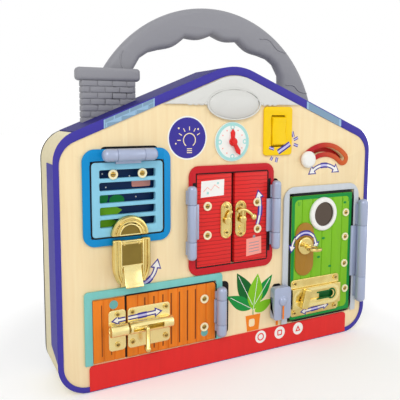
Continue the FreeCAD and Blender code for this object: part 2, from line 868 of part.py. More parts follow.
def carrying_handle():
    """Arch with four finger lobes on its inner side, standing on both slopes."""
    y = handle_front
    z0 = dim.handle_centre_height
    notches = [
        polar(0, z0, dim.handle_inner_radius, 90 + step * dim.handle_lobe_angle, y)
        for step in (-2, -1, 0, 1, 2)
    ]
    lobes = [
        polar(
            0, z0, dim.handle_inner_radius - dim.handle_lobe_height,
            90 + (step + 0.5) * dim.handle_lobe_angle, y,
        )
        for step in (-2, -1, 0, 1)
    ]
    inner = [arc(notches[k], lobes[k], notches[k + 1]) for k in range(4)]
    foot_z = dim.eave_height - dim.trim_corner
    ends = []
    for side, notch in ((1, notches[0]), (-1, notches[-1])):
        foot = at(side * dim.handle_foot_inner, foot_z, y)
        shoulder = at(
            side * (dim.handle_foot_inner - dim.handle_lean), dim.handle_shoulder, y
        )
        middle = (shoulder + notch) * 0.5
        away = Vector(side * 0.6, 0, 0.8) * dim.handle_lobe_height
        inner.append(line(foot, shoulder))
        inner.append(arc(shoulder, middle + away, notch))
        ends.append(foot)
    inner.append(line(ends[0], ends[1]))
    disc = Part.makeCylinder(
        dim.handle_outer_radius, dim.handle_thickness, at(0, z0, y), Vector(0, 1, 0)
    )
    arch = disc.cut(prism(inner, y, dim.handle_thickness)).cut(under_roof.Shape)
    rims = [
        edge
        for edge in arch.Edges
        if hasattr(edge.Curve, "Radius") and abs(edge.Curve.Radius - dim.handle_outer_radius) < 1e-3
    ]
    arch = arch.makeFillet(dim.handle_edge_round, rims)
    return arch.cut(screw_holes.Shape)


node(shape("grip", carrying_handle()), "handle")

# Lamp under the ridge: circuit with lamps, cloud-shaped panel and clear dome
LAMP_FRONT = FACE + " - lamp_thickness"
DOME_HEIGHT = "(lamp_bottom + seat_gap)"
dome_steps = 5
dome_sides = 32


def oval(name, x, y, z, half_width, half_height, depth):
    """Elliptical plate in the plane of the front."""
    curve = doc.addObject("Part::Ellipse", name + "_curve")
    curve.Placement = Placement(Vector(), Rotation(Vector(1, 0, 0), 90))
    bind(curve, "MajorRadius", half_width)
    bind(curve, "MinorRadius", half_height)
    place(curve, x, y, z)
    solid = doc.addObject("Part::Extrusion", name)
    solid.Base = curve
    solid.DirMode = "Custom"
    solid.Dir = Vector(0, 1, 0)
    solid.Solid = True
    bind(solid, "LengthFwd", depth)
    return solid


def dome(name, half_width, half_height, rise):
    """Dome of many-sided outlines that shrink away from the front board."""
    rings = []
    for step in range(dome_steps):
        turn = math.radians(step * 80 / (dome_steps - 1))
        corners = [
            at(
                dim.lamp_centre + half_width * math.cos(turn) * math.cos(2 * math.pi * side / dome_sides),
                dim.lamp_bottom + dim.seat_gap
                + half_height * math.cos(turn) * math.sin(2 * math.pi * side / dome_sides),
                face_y - rise * math.sin(turn),
            )
            for side in range(dome_sides)
        ]
        rings.append(Part.makePolygon(corners + corners[:1]))
    return shape(name, Part.makeLoft(rings, True, True))


lamp_outline = house(
    "lamp_outline", "trim_roof_border", "trim_roof_border + lamp_border_gap", "wall_thickness",
    LAMP_FRONT, "lamp_thickness", "case_corner", "ridge_round - trim_roof_border",
)
below_lamp = block(
    "below_lamp", "0", LAMP_FRONT, "0", "board_width", "lamp_thickness", "lamp_bottom"
)
dome_seat = oval(
    "dome_seat", "lamp_centre", LAMP_FRONT, DOME_HEIGHT, "dome_half_width + dome_gap",
    "dome_half_height + dome_gap", "lamp_thickness",
)
cloud_cut = cut("cloud_cut", lamp_outline, [below_lamp])
puffs = []
for side in (-1, 1):
    for step in (1, 2, 3, 4):
        puffs.append(
            rod(
                "puff_%d_%d" % (side + 1, step), "Y", "lamp_scallop * 2.5", "lamp_thickness",
                "lamp_centre + %d * (dome_half_width + %d * lamp_scallop * 3)" % (side, step - 0.5),
                LAMP_FRONT, "lamp_bottom + 2 * lamp_scallop",
            )
        )
cloud = fuse("cloud", [cloud_cut] + puffs)
node(cut("lamp_cloud", cloud, [dome_seat]), "lamp_panel")

dome_outside = dome("dome_outside", dim.dome_half_width, dim.dome_half_height, dim.dome_rise)
dome_inside = dome(
    "dome_inside", dim.dome_half_width - dim.dome_wall, dim.dome_half_height - dim.dome_wall,
    dim.dome_rise - dim.dome_wall,
)
node(cut("lens", dome_outside, [dome_inside]), "lamp_lens")

circuit = block(
    "circuit", "lamp_centre", PANEL_BACK, "lamp_bottom - circuit_height / 2", "circuit_width",
    "circuit_thickness", "circuit_height",
)
leds = [
    rod(
        "led_%d" % place_in_row, "Y", "led_radius", "led_length",
        "lamp_centre + %s * led_spacing" % (place_in_row - 1), PANEL_BACK + " - led_length",
        "lamp_bottom",
    )
    for place_in_row in (0, 1, 2)
]
node(fuse("lamp_circuit", [circuit] + leds), "lamp_board")

# Clock dial with a pin that carries both hands
HOUR_FRONT = FACE + " - clock_thickness - seat_gap - hand_thickness"
MINUTE_FRONT = "%s - seat_gap - hand_thickness" % HOUR_FRONT
dial = rod(
    "dial", "Y", "clock_radius", "clock_thickness", "clock_centre", FACE + " - clock_thickness",
    "clock_height",
)
hand_pin = rod(
    "hand_pin", "Y", "clock_pin_radius",
    "front_thickness + clock_thickness + 3 * seat_gap + 2 * hand_thickness", "clock_centre",
    MINUTE_FRONT + " - seat_gap", "clock_height",
)
pin_head = rod(
    "pin_head", "Y", "hand_hub - hand_thickness", "hand_thickness", "clock_centre",
    MINUTE_FRONT + " - seat_gap - hand_thickness", "clock_height",
)
node(fuse("clock", [dial, hand_pin, pin_head]), "clock_dial")


def clock_hand(name, length, degrees, front):
    """Pointed hand with a round hub; its angle is measured from twelve o'clock."""
    x, z = dim.clock_centre, dim.clock_height
    y = front
    heading = 90 - degrees
    tip = polar(x, z, length, heading, y)
    side_a = polar(x, z, dim.hand_width / 2, heading + 90, y)
    side_b = polar(x, z, dim.hand_width / 2, heading - 90, y)
    wide = polar(x, z, length * 0.72, heading, y)
    wing_a = wide + (side_a - at(x, z, y)) * 1.5
    wing_b = wide + (side_b - at(x, z, y)) * 1.5
    outline = Part.makePolygon([side_a, wing_a, tip, wing_b, side_b, side_a])
    blade = Part.Face(outline).extrude(Vector(0, dim.hand_thickness, 0))
    hub = Part.makeCylinder(dim.hand_hub, dim.hand_thickness, at(x, z, y), Vector(0, 1, 0))
    bore = Part.makeCylinder(
        dim.clock_pin_radius + dim.running_gap, dim.hand_thickness, at(x, z, y), Vector(0, 1, 0)
    )
    return shape(name, blade.fuse(hub).cut(bore).removeSplitter())


hour_y = face_y - dim.clock_thickness - dim.seat_gap - dim.hand_thickness
minute_y = hour_y - dim.seat_gap - dim.hand_thickness
node(clock_hand("short_hand", dim.hour_length, dim.hour_angle, hour_y), "hour_hand")
node(clock_hand("long_hand", dim.minute_length, dim.minute_angle, minute_y), "minute_hand")

# Rocker switch in a box behind the front board
WINDOW_WIDTH = "(rocker_width + 2 * rocker_gap)"
WINDOW_HEIGHT = "(rocker_height + 2 * rocker_gap)"
switch_cover = plate(
    "switch_cover", "switch_centre", FACE + " - switch_plate_thickness", "switch_height",
    "switch_plate_width", "switch_plate_thickness", "switch_plate_height", "frame_band / 2",
)
switch_window = block(
    "switch_window", "switch_centre", FACE + " - switch_plate_thickness",
    "switch_height - %s / 2" % WINDOW_HEIGHT, WINDOW_WIDTH, "switch_plate_thickness", WINDOW_HEIGHT,
)
node(cut("switch_frame", switch_cover, [switch_window]), "switch_plate")
ROCKER_AXIS = FACE + " + rocker_drop"
switch_case = block(
    "switch_case", "switch_centre", FACE, "switch_height - %s / 2" % SWITCH_BOX_HEIGHT,
    SWITCH_BOX_WIDTH, "switch_box_depth", SWITCH_BOX_HEIGHT,
)
switch_room_inside = block(
    "switch_room_inside", "switch_centre", FACE, "switch_height - %s / 2" % WINDOW_HEIGHT,
    WINDOW_WIDTH, "switch_box_depth - switch_box_wall", WINDOW_HEIGHT,
)
axle_hole = rod(
    "axle_hole", "X", "rocker_pin + running_gap", SWITCH_BOX_WIDTH,
    "switch_centre - %s / 2" % SWITCH_BOX_WIDTH, ROCKER_AXIS, "switch_height",
)
node(cut("switch_shell", switch_case, [switch_room_inside, axle_hole]), "switch_body")


def rocker_cap():
    """Rocker with a shallow V in front, one half pressed, and round ends."""
    x0 = dim.switch_centre - dim.rocker_width / 2
    y0 = face_y + dim.rocker_drop
    half = dim.rocker_height / 2
    rise = dim.rocker_drop + dim.switch_plate_thickness + dim.rocker_rise
    lift = half * math.tan(math.radians(dim.rocker_tilt))
    back = dim.rocker_drop
    profile = [
        Vector(x0, y0 - rise, dim.switch_height - half),
        Vector(x0, y0 - rise + lift, dim.switch_height),
        Vector(x0, y0 - rise, dim.switch_height + half),
        Vector(x0, y0 + back, dim.switch_height + half),
        Vector(x0, y0 + back, dim.switch_height - half),
    ]
    body = Part.Face(Part.makePolygon(profile + profile[:1])).extrude(Vector(dim.rocker_width, 0, 0))
    ends = Part.makeCylinder(half, dim.rocker_width, Vector(x0, y0, dim.switch_height), Vector(1, 0, 0))
    axle_length = dim.rocker_width + 2 * dim.rocker_gap + 2 * dim.switch_box_wall
    axle_length -= 2 * dim.running_gap
    axle = Part.makeCylinder(
        dim.rocker_pin, axle_length, Vector(dim.switch_centre - axle_length / 2, y0, dim.switch_height),
        Vector(1, 0, 0),
    )
    solid = body.common(ends).fuse(axle).removeSplitter()
    solid.rotate(
        Vector(dim.switch_centre, y0, dim.switch_height), Vector(1, 0, 0), dim.rocker_tilt
    )
    return solid


node(shape("rocker", rocker_cap()), "switch_rocker")

# Curved slider: track plate, knob with a stem through the slot and a washer behind
track = ring_sector(
    dim.slider_centre, dim.slider_height, dim.slider_radius, dim.track_width, dim.slider_end,
    dim.slider_start, face_y - dim.track_thickness, dim.track_thickness,
)
node(shape("track", track.cut(slider_slot.Shape)), "arc_track")


def slider():
    here = polar(dim.slider_centre, dim.slider_height, dim.slider_radius, dim.slider_start)
    y = face_y - dim.track_thickness - dim.seat_gap
    away = Vector(0, -1, 0)
    knob = Part.makeCylinder(
        dim.slider_knob_radius, dim.slider_knob_rise, here + Vector(0, y, 0), away
    )
    rim = [
        edge
        for edge in knob.Edges
        if abs(edge.BoundBox.YMin - y + dim.slider_knob_rise) < 1e-3
        and edge.BoundBox.YLength < 1e-3
    ]
    knob = knob.makeChamfer(dim.slider_knob_rise * 0.4, rim)
    back = face_y + dim.front_thickness + dim.seat_gap
    stem = Part.makeCylinder(
        dim.slider_stem, back + dim.slider_washer - y, here + Vector(0, y, 0), Vector(0, 1, 0)
    )
    washer = Part.makeCylinder(
        dim.slider_washer_radius, dim.slider_washer, here + Vector(0, back, 0), Vector(0, 1, 0)
    )
    return knob.fuse([stem, washer]).removeSplitter()


node(shape("slide_knob", slider()), "slider_knob")


def hinge(name, along, x, z, length, radius, rise, reach, side, edge, inner="flange_reach"):
    """Three-knuckle hinge in front of its frame.

    The barrel runs along Z or along X. The flange that carries the door
    reaches from the barrel towards the side given, and rests on the door
    from the distance called edge onwards. On that side the fixed feet end
    at the distance called inner.
    """
    axis_y = "(%s - %s - %s)" % (LEAF, radius, rise)
    turned = along == "X"
    centre, across = (x, z) if turned else (z, x)

    def bar(label, size, start, extent):
        if turned:
            return rod(label, "X", size, extent, start, axis_y, across)
        return rod(label, "Z", size, extent, across, axis_y, start)

    def slab(label, start, extent, low, wide, y, depth):
        if turned:
            return box(label, start, y, low, extent, depth, wide)
        return box(label, low, y, start, wide, depth, extent)

    low_end = "(%s - %s / 2)" % (centre, length)
    low_reach, high_reach = ("flange_reach", inner) if side > 0 else (inner, "flange_reach")
    knuckle = "(%s / 4)" % length
    fixed = [bar(name + "_pin", "hinge_pin_radius", low_end, length)]
    for end in (0, 1):
        start = "(%s + %d * 3 * %s)" % (low_end, end, knuckle)
        fixed.append(bar("%s_knuckle_%d" % (name, end), radius, start, knuckle))
        fixed.append(
            slab(
                "%s_foot_%d" % (name, end), start, knuckle, "%s - %s" % (across, low_reach),
                "%s + %s" % (low_reach, high_reach), "%s - strap_thickness" % LEAF,
                "strap_thickness",
            )
        )
        fixed.append(
            slab(
                "%s_web_%d" % (name, end), start, knuckle, "%s - %s * 0.8" % (across, radius),
                "1.6 * %s" % radius, axis_y, "%s + %s" % (radius, rise),
            )
        )
    leaf_start = "(%s + %s + knuckle_gap)" % (low_end, knuckle)
    leaf_length = "(%s / 2 - 2 * knuckle_gap)" % length
    web_low = across if side > 0 else "(%s - %s)" % (across, reach)
    pad_low = "(%s + %s)" % (across, edge) if side > 0 else "(%s - %s)" % (across, reach)
    leaf_bar = bar(name + "_barrel", radius, leaf_start, leaf_length)
    web = slab(
        name + "_flange", leaf_start, leaf_length, web_low, reach,
        "%s - strap_thickness" % LEAF, "strap_thickness - seat_gap",
    )
    pad = slab(
        name + "_pad", leaf_start, leaf_length, pad_low, "%s - %s" % (reach, edge),
        "%s - strap_thickness" % LEAF, "strap_thickness",
    )
    bore = bar(name + "_bore", "hinge_pin_radius + running_gap", low_end, length)
    leaf = cut(name + "_leaf", fuse(name + "_leaf_solid", [leaf_bar, web, pad]), [bore])
    return fuse(name + "_fixed", fixed), leaf


# Window with its shutter, hinged at the head
FRAME_Y = LEAF
window_border = plate(
    "window_border", "window_centre", FRAME_Y,
    "window_bottom + (window_height - frame_band + window_head_band) / 2",
    "window_width + 2 * frame_band", "frame_thickness",
    "window_height + frame_band + window_head_band", "window_frame_corner",
)
window_cut = block(
    "window_cut", "window_centre", FRAME_Y, "window_bottom", "window_width", "frame_thickness",
    "window_height",
)
node(cut("window_edge", window_border, [window_cut]), "window_frame")
SHUTTER_WIDTH = "(window_width - 2 * window_gap)"
SHUTTER_HEIGHT = "(window_height - 2 * window_gap)"
shutter_board = plate(
    "shutter_board", "window_centre", LEAF, "window_bottom + window_height / 2", SHUTTER_WIDTH,
    "leaf_thickness", SHUTTER_HEIGHT, "window_corner",
)
louvres = [
    plate(
        "louvre_%d" % row, "window_centre", LEAF,
        "window_bottom + window_height - window_gap - louvre_head - louvre_opening / 2"
        " - %d * louvre_pitch" % row,
        SHUTTER_WIDTH + " - 2 * louvre_stile", "leaf_thickness", "louvre_opening", "louvre_corner",
    )
    for row in range(int(dim.louvre_count))
]
node(cut("louvred", shutter_board, louvres), "shutter")
head_fixed, head_leaf = hinge(
    "head", "X", "window_centre", "shutter_hinge_height", "shutter_hinge_length",
    "shutter_barrel_radius", "door_hinge_rise", "shutter_strap_reach", -1,
    "(shutter_hinge_height - window_bottom - window_height + window_gap)",
)
node(head_fixed, "shutter_hinge_fixed")
node(head_leaf, "shutter_hinge_leaf")

# Double doors
red_border = plate(
    "red_border", "red_centre", FRAME_Y, "red_bottom + red_height / 2",
    "red_width + 2 * frame_band", "frame_thickness", "red_height + 2 * frame_band",
    "red_frame_corner",
)
red_cut = block(
    "red_cut", "red_centre", FRAME_Y, "red_bottom", "red_width", "frame_thickness", "red_height"
)
node(cut("red_edge", red_border, [red_cut]), "red_frame")
RED_LEAF = "((red_width - 2 * red_gap - red_middle_gap) / 2)"
RED_EDGE = "(door_hinge_offset + red_gap)"
red_fixed = []
for side, label in ((-1, "left"), (1, "right")):
    node(
        plate(
            "red_leaf_" + label, "red_centre + %d * (red_middle_gap + %s) / 2" % (side, RED_LEAF),
            LEAF, "red_bottom + red_height / 2", RED_LEAF, "leaf_thickness",
            "red_height - 2 * red_gap", None,
        ),
        "red_door_" + label,
    )
    fixed, leaf = hinge(
        "red_" + label, "Z", "(red_centre + %d * (red_width / 2 + door_hinge_offset))" % side,
        "(red_bottom + red_height / 2)", "door_hinge_length", "door_barrel_radius",
        "door_hinge_rise", "door_strap_reach", -side, RED_EDGE,
    )
    red_fixed.append(fixed)
    node(leaf, "red_hinge_leaf_" + label)
node(group("red_hinges", red_fixed), "red_hinges_fixed")

PLATE_Y = LEAF + " - plate_thickness"
HOOK_X = "(red_centre + red_middle_gap / 2 + hook_plate_width / 2)"
CATCH_X = "(red_centre - red_middle_gap / 2 - hook_plate_width / 2)"
right_blank = plate(
    "right_plate", HOOK_X, PLATE_Y, "hook_height", "hook_plate_width", "plate_thickness",
    "hook_plate_height", "hook_rod_radius",
)
hook_lengths = 8
hook_x = dim.red_centre + dim.red_middle_gap / 2 + dim.hook_plate_width / 2
catch_x = dim.red_centre - dim.red_middle_gap / 2 - dim.hook_plate_width / 2
plate_y = leaf_y - dim.plate_thickness
hook_y = plate_y - dim.hook_standoff
right_stud = rod(
    "right_stud", "Y", "hook_stud_radius", "hook_standoff + hook_rod_radius + seat_gap", HOOK_X,
    PLATE_Y + " - hook_standoff - hook_rod_radius - seat_gap", "hook_height",
)
right_head = rod(
    "right_head", "Y", "hook_stud_head", "plate_thickness", HOOK_X,
    PLATE_Y + " - hook_standoff - hook_rod_radius - seat_gap - plate_thickness", "hook_height",
)
node(fuse("right_mount", [right_blank, right_stud, right_head]), "hook_plate")


def bent_rod(points, radius, lengths):
    """Round bar in short straight lengths along a curve through the points."""
    curve = Part.BSplineCurve()
    curve.interpolate(points)
    corners = curve.discretize(Number=lengths + 1)
    spine = Part.makePolygon(corners)
    section = Part.Wire([Part.Circle(corners[0], corners[1] - corners[0], radius).toShape()])
    return spine.makePipeShell([section], True, False, 1)


def ball(centre, radius):
    """Turned knob about the Z axis, with a flat at each end."""
    rims = [
        polar(centre.x, centre.z, radius, degrees, centre.y) for degrees in (-75, -45, -15, 15, 45, 75)
    ]
    outline = [at(centre.x, rims[0].z, centre.y)] + rims + [at(centre.x, rims[-1].z, centre.y)]
    return Part.Face(Part.makePolygon(outline + outline[:1])).revolve(centre, Vector(0, 0, 1), 360)


def door_hook():
    """Arched bar with a ball at its end, turning on the stud of the right plate."""
    z = dim.hook_height
    top = z + dim.hook_rise
    nose = dim.red_centre + dim.red_middle_gap / 2 - dim.running_gap
    end = hook_x + dim.hook_plate_width
    bar = bent_rod(
        [
            at(nose + dim.hook_rod_radius * 0.4, top - dim.hook_rise * 0.05, hook_y),
            at((nose + hook_x) / 2, top + dim.hook_rise * 0.05, hook_y),
            at((hook_x + end) / 2 - dim.hook_rod_radius, top - dim.hook_rise * 0.1, hook_y),
            at(end - dim.hook_rod_radius, z + dim.hook_rise * 0.3, hook_y),
        ],
        dim.hook_rod_radius, hook_lengths,
    )
    knob_y = plate_y - dim.hook_ball_radius - dim.seat_gap
    knob = ball(at(end, z + dim.hook_rod_radius, knob_y), dim.hook_ball_radius)
    eye = Part.makeCylinder(
        dim.hook_eye_radius, 2 * dim.hook_rod_radius, at(hook_x, z, hook_y - dim.hook_rod_radius),
        Vector(0, 1, 0),
    )
    neck = Part.makeCylinder(
        dim.hook_rod_radius, dim.hook_rise, at(hook_x, z, hook_y), Vector(0, 0, 1)
    )
    bore = Part.makeCylinder(
        dim.hook_stud_radius + dim.running_gap, 2 * dim.hook_rod_radius,
        at(hook_x, z, hook_y - dim.hook_rod_radius), Vector(0, 1, 0),
    )
    return bar.fuse([knob, eye, neck]).cut(bore)


node(shape("hook", door_hook()), "door_hook")


def catch_horn():
    """Left part of the closure: an eye on a post and a horn that meets the hook."""
    z = dim.hook_height
    top = z + dim.hook_rise
    edge = catch_x + dim.hook_plate_width / 2
    root = at(catch_x, z, hook_y)
    tip = at(edge - dim.hook_rod_radius, top - dim.hook_rise * 0.1, hook_y)
    horn = Part.makeCylinder(dim.hook_rod_radius, (tip - root).Length, root, tip - root)
    post = Part.makeCylinder(
        dim.catch_post_radius, dim.hook_standoff + dim.plate_thickness / 2, at(catch_x, z, hook_y),
        Vector(0, 1, 0),
    )
    eye = Part.makeCylinder(
        dim.hook_eye_radius, 2 * dim.hook_rod_radius, at(catch_x, z, hook_y - dim.hook_rod_radius),
        Vector(0, 1, 0),
    )
    return shape("horn", post.fuse([eye, horn]))


left_blank = plate(
    "left_plate", CATCH_X, PLATE_Y, "hook_height", "hook_plate_width", "plate_thickness",
    "hook_plate_height", "hook_rod_radius",
)
node(fuse("left_mount", [left_blank, catch_horn()]), "catch_plate")

# Toggle latch below the window: rounded catch on the shutter, lever on the board
LATCH_X = "window_centre"
latch_x = dim.window_centre
latch_pivot_y = leaf_y - dim.latch_pivot_reach
catch_low = dim.window_bottom + dim.window_gap + dim.catch_clearance


def latch_catch():
    """Half-round plate with a raised rim and an open window, on the shutter's foot."""
    y = leaf_y
    forward = Vector(0, -1, 0)
    centre = at(latch_x, catch_low, y)
    base = Part.makeCylinder(dim.catch_radius, dim.plate_thickness, centre, forward)
    rim = Part.makeCylinder(dim.catch_radius, dim.catch_rim_height, centre, forward)
    rim = rim.cut(
        Part.makeCylinder(dim.catch_radius - dim.catch_rim, dim.catch_rim_height, centre, forward)
    )
    inner_rim = Part.makeCylinder(
        dim.catch_window_radius + dim.catch_rim / 2, dim.catch_rim_height, centre, forward
    )
    hollow = Part.makeCylinder(
        dim.catch_window_radius, 2 * dim.catch_rim_height, centre + Vector(0, -dim.strap_thickness / 4, 0),
        forward,
    )
    below = Part.makeBox(
        4 * dim.catch_radius, 2 * dim.catch_rim_height, 2 * dim.catch_radius,
        Vector(latch_x - 2 * dim.catch_radius, y - 1.5 * dim.catch_rim_height, catch_low - 2 * dim.catch_radius),
    )
    plate_solid = base.fuse([rim, inner_rim]).cut(hollow).cut(below)
    return plate_solid.removeSplitter()


node(shape("catch", latch_catch()), "latch_catch")

EAR_THICKNESS = dim.latch_panel_thickness
ear_x = dim.latch_base_width / 2 - EAR_THICKNESS / 2


def latch_base():
    """Plate on the board with two ears that hold the lever's pin."""
    y = face_y
    x0 = latch_x - dim.latch_base_width / 2
    top = dim.window_bottom - dim.frame_band - dim.catch_clearance
    base = Part.makeBox(
        dim.latch_base_width, dim.latch_panel_thickness, top - dim.latch_base_bottom,
        Vector(x0, y - dim.latch_panel_thickness, dim.latch_base_bottom),
    )
    parts = []
    pin_z = dim.latch_pivot_height
    for side in (-1, 1):
        start = latch_x + side * ear_x - EAR_THICKNESS / 2
        outline = [
            Vector(start, y - dim.latch_panel_thickness / 2, top),
            Vector(start, y - dim.latch_panel_thickness / 2, top - dim.latch_panel_height),
            Vector(start, latch_pivot_y, pin_z - dim.latch_barrel_radius),
            Vector(start, latch_pivot_y, pin_z + dim.latch_barrel_radius),
            Vector(start, leaf_y - dim.seat_gap, pin_z),
            Vector(start, leaf_y - dim.seat_gap, top),
        ]
        ear = Part.Face(Part.makePolygon(outline + outline[:1])).extrude(Vector(EAR_THICKNESS, 0, 0))
        head = Part.makeCylinder(
            dim.latch_barrel_radius, EAR_THICKNESS, Vector(start, latch_pivot_y, pin_z), Vector(1, 0, 0)
        )
        parts += [ear, head]
    pin = Part.makeCylinder(
        dim.hinge_pin_radius, dim.latch_width - dim.latch_rail,
        Vector(latch_x - (dim.latch_width - dim.latch_rail) / 2, latch_pivot_y, pin_z), Vector(1, 0, 0),
    )
    return base.fuse(parts + [pin]).removeSplitter()


node(shape("latch_mount", latch_base()), "latch_base")


def latch_lever():
    """Lever with two rails, a window between them and a scooped finger tongue."""
    x, z = latch_x, dim.latch_pivot_height
    width, rail = dim.latch_width, dim.latch_rail
    low = z - dim.latch_length
    front = latch_pivot_y - dim.latch_head_radius
    back = latch_pivot_y + dim.latch_head_radius * 0.4
    across = Vector(1, 0, 0)
    head = Part.makeCylinder(
        dim.latch_head_radius, width, Vector(x - width / 2, latch_pivot_y, z), across
    )
    rails = []
    for side in (-1, 1):
        start = x + side * (width - rail) / 2 - rail / 2
        bar = Part.makeBox(rail, back - front, dim.latch_length, Vector(start, front, low))
        groove = Part.makeCylinder(
            rail / 5, dim.latch_length, Vector(start + rail / 2, front, low), Vector(0, 0, 1)
        )
        rails.append(bar.cut(groove))
    tongue_width = dim.latch_base_width - 2 * dim.latch_side_gap
    tongue_top = low + dim.latch_rail + dim.latch_panel_height
    tongue_x = x - tongue_width / 2
    bend = Vector(tongue_x, front + dim.latch_panel_thickness - dim.latch_scoop, tongue_top)
    outer = Part.makeCylinder(dim.latch_scoop, tongue_width, bend, across)
    inner = Part.makeCylinder(
        dim.latch_scoop - dim.latch_panel_thickness, tongue_width, bend, across
    )
    keep = Part.makeBox(
        tongue_width, dim.latch_scoop, dim.latch_tongue,
        bend + Vector(0, 0, -dim.latch_tongue),
    )
    tongue = outer.cut(inner).common(keep)
    bridge = Part.makeBox(
        width - rail, dim.latch_panel_thickness, dim.latch_panel_height,
        Vector(x - (width - rail) / 2, front, low + dim.latch_rail),
    )
    lever = head.fuse(rails + [bridge, tongue])
    opening = dim.latch_base_width + 2 * dim.latch_side_gap
    slot = Part.makeBox(
        opening, 4 * dim.latch_head_radius, 2 * dim.latch_head_radius,
        Vector(
            x - opening / 2, latch_pivot_y - 2 * dim.latch_head_radius, z - dim.latch_head_radius
        ),
    )
    bore = Part.makeCylinder(
        dim.hinge_pin_radius + dim.running_gap, width - rail + 2 * dim.seat_gap,
        Vector(x - (width - rail) / 2 - dim.seat_gap, latch_pivot_y, z), across,
    )
    return lever.cut([slot, bore]).removeSplitter()


node(shape("lever", latch_lever()), "latch_lever")

# Tall door with its porthole, key lock and slide bolt
green_border = plate(
    "green_border", "green_centre", FRAME_Y,
    "green_bottom + (green_height + frame_band) / 2", "green_width + 2 * frame_band",
    "frame_thickness", "green_height + frame_band", None,
)
green_border_top = round_edges(
    green_border, green_border.Tip, "green_border_corners", "green_frame_corner",
    lambda middle: middle.z > 0,
)
green_cut = block(
    "green_cut", "green_centre", FRAME_Y, "green_bottom", "green_width", "frame_thickness",
    "green_height",
)
node(cut("green_edge", green_border, [green_cut]), "green_frame")
GREEN_LEAF_WIDTH = "(green_width - 2 * green_gap)"
green_leaf = plate(
    "green_leaf", "green_centre", LEAF, "green_bottom + green_height / 2", GREEN_LEAF_WIDTH,
    "leaf_thickness", "green_height - 2 * green_gap", "frame_band / 2",
)
lock_hole = rod(
    "lock_hole", "Y", "cylinder_barrel + running_gap", "leaf_thickness",
    "green_centre + lock_offset", LEAF, "cylinder_height",
)


def planks(prefix, left, right, low, high, pitch, y):
    """Shallow upright grooves between the planks of a door."""
    grooves = []
    count = int((right - left) / pitch)
    for step in range(1, count + 1):
        x = left + step * (right - left) / (count + 1)
        grooves.append(
            Part.makeBox(
                dim.plank_groove, dim.plank_groove, high - low,
                Vector(x - dim.plank_groove / 2, y, low),
            )
        )
    return shape(prefix, Part.makeCompound(grooves))


green_left = dim.green_centre - dim.green_width / 2 + dim.green_gap
green_right = dim.green_centre + dim.green_width / 2 - dim.green_gap
green_grooves = planks(
    "green_planks", green_left, green_right, dim.green_bottom + dim.green_gap,
    dim.green_bottom + dim.green_height - dim.green_gap, dim.plank_pitch * 1.25, leaf_y,
)
node(cut("green_planked", green_leaf, [lock_hole, green_grooves]), "green_door")
green_fixed, green_hinge_leaf = hinge(
    "green", "Z", "(green_centre + green_width / 2 + green_hinge_offset)", "green_hinge_centre",
    "green_hinge_length", "green_barrel_radius", "door_hinge_rise", "green_strap_reach", -1,
    "(green_hinge_offset + green_gap)",
)
node(green_fixed, "green_hinge_fixed")
node(green_hinge_leaf, "green_hinge_leaf")


def porthole_ring():
    """Raised ring with a bevelled front edge and a seat for the mirror."""
    centre = at(dim.green_centre, dim.porthole_height, leaf_y)
    forward = Vector(0, -1, 0)
    outer = Part.makeCylinder(dim.porthole_radius, dim.porthole_rise, centre, forward)
    rim = [edge for edge in outer.Edges if edge.BoundBox.YMax < leaf_y - dim.porthole_rise / 2]
    outer = outer.makeChamfer(dim.porthole_rise * 0.4, rim)
    hole = Part.makeCylinder(dim.porthole_inner, dim.porthole_rise, centre, forward)
    seat = Part.makeCylinder(
        dim.porthole_inner + dim.strap_thickness / 2 + dim.running_gap,
        dim.mirror_thickness + dim.running_gap, centre, forward,
    )
    return outer.cut(hole).cut(seat)


node(shape("porthole", porthole_ring()), "porthole_ring")
node(
    rod(
        "mirror", "Y", "porthole_inner + strap_thickness / 2", "mirror_thickness", "green_centre",
        LEAF + " - mirror_thickness", "porthole_height",
    ),
    "porthole_mirror",
)
lock_blank = plate(
    "lock_blank", "green_centre + lock_offset", PLATE_Y, "lock_height", "escutcheon_width",
    "plate_thickness", "escutcheon_height", "escutcheon_width / 2 - running_gap",
)
lock_plate_hole = rod(
    "lock_plate_hole", "Y", "cylinder_barrel + running_gap", "plate_thickness",
    "green_centre + lock_offset", PLATE_Y, "cylinder_height",
)
node(cut("lock_face", lock_blank, [lock_plate_hole]), "lock_plate")


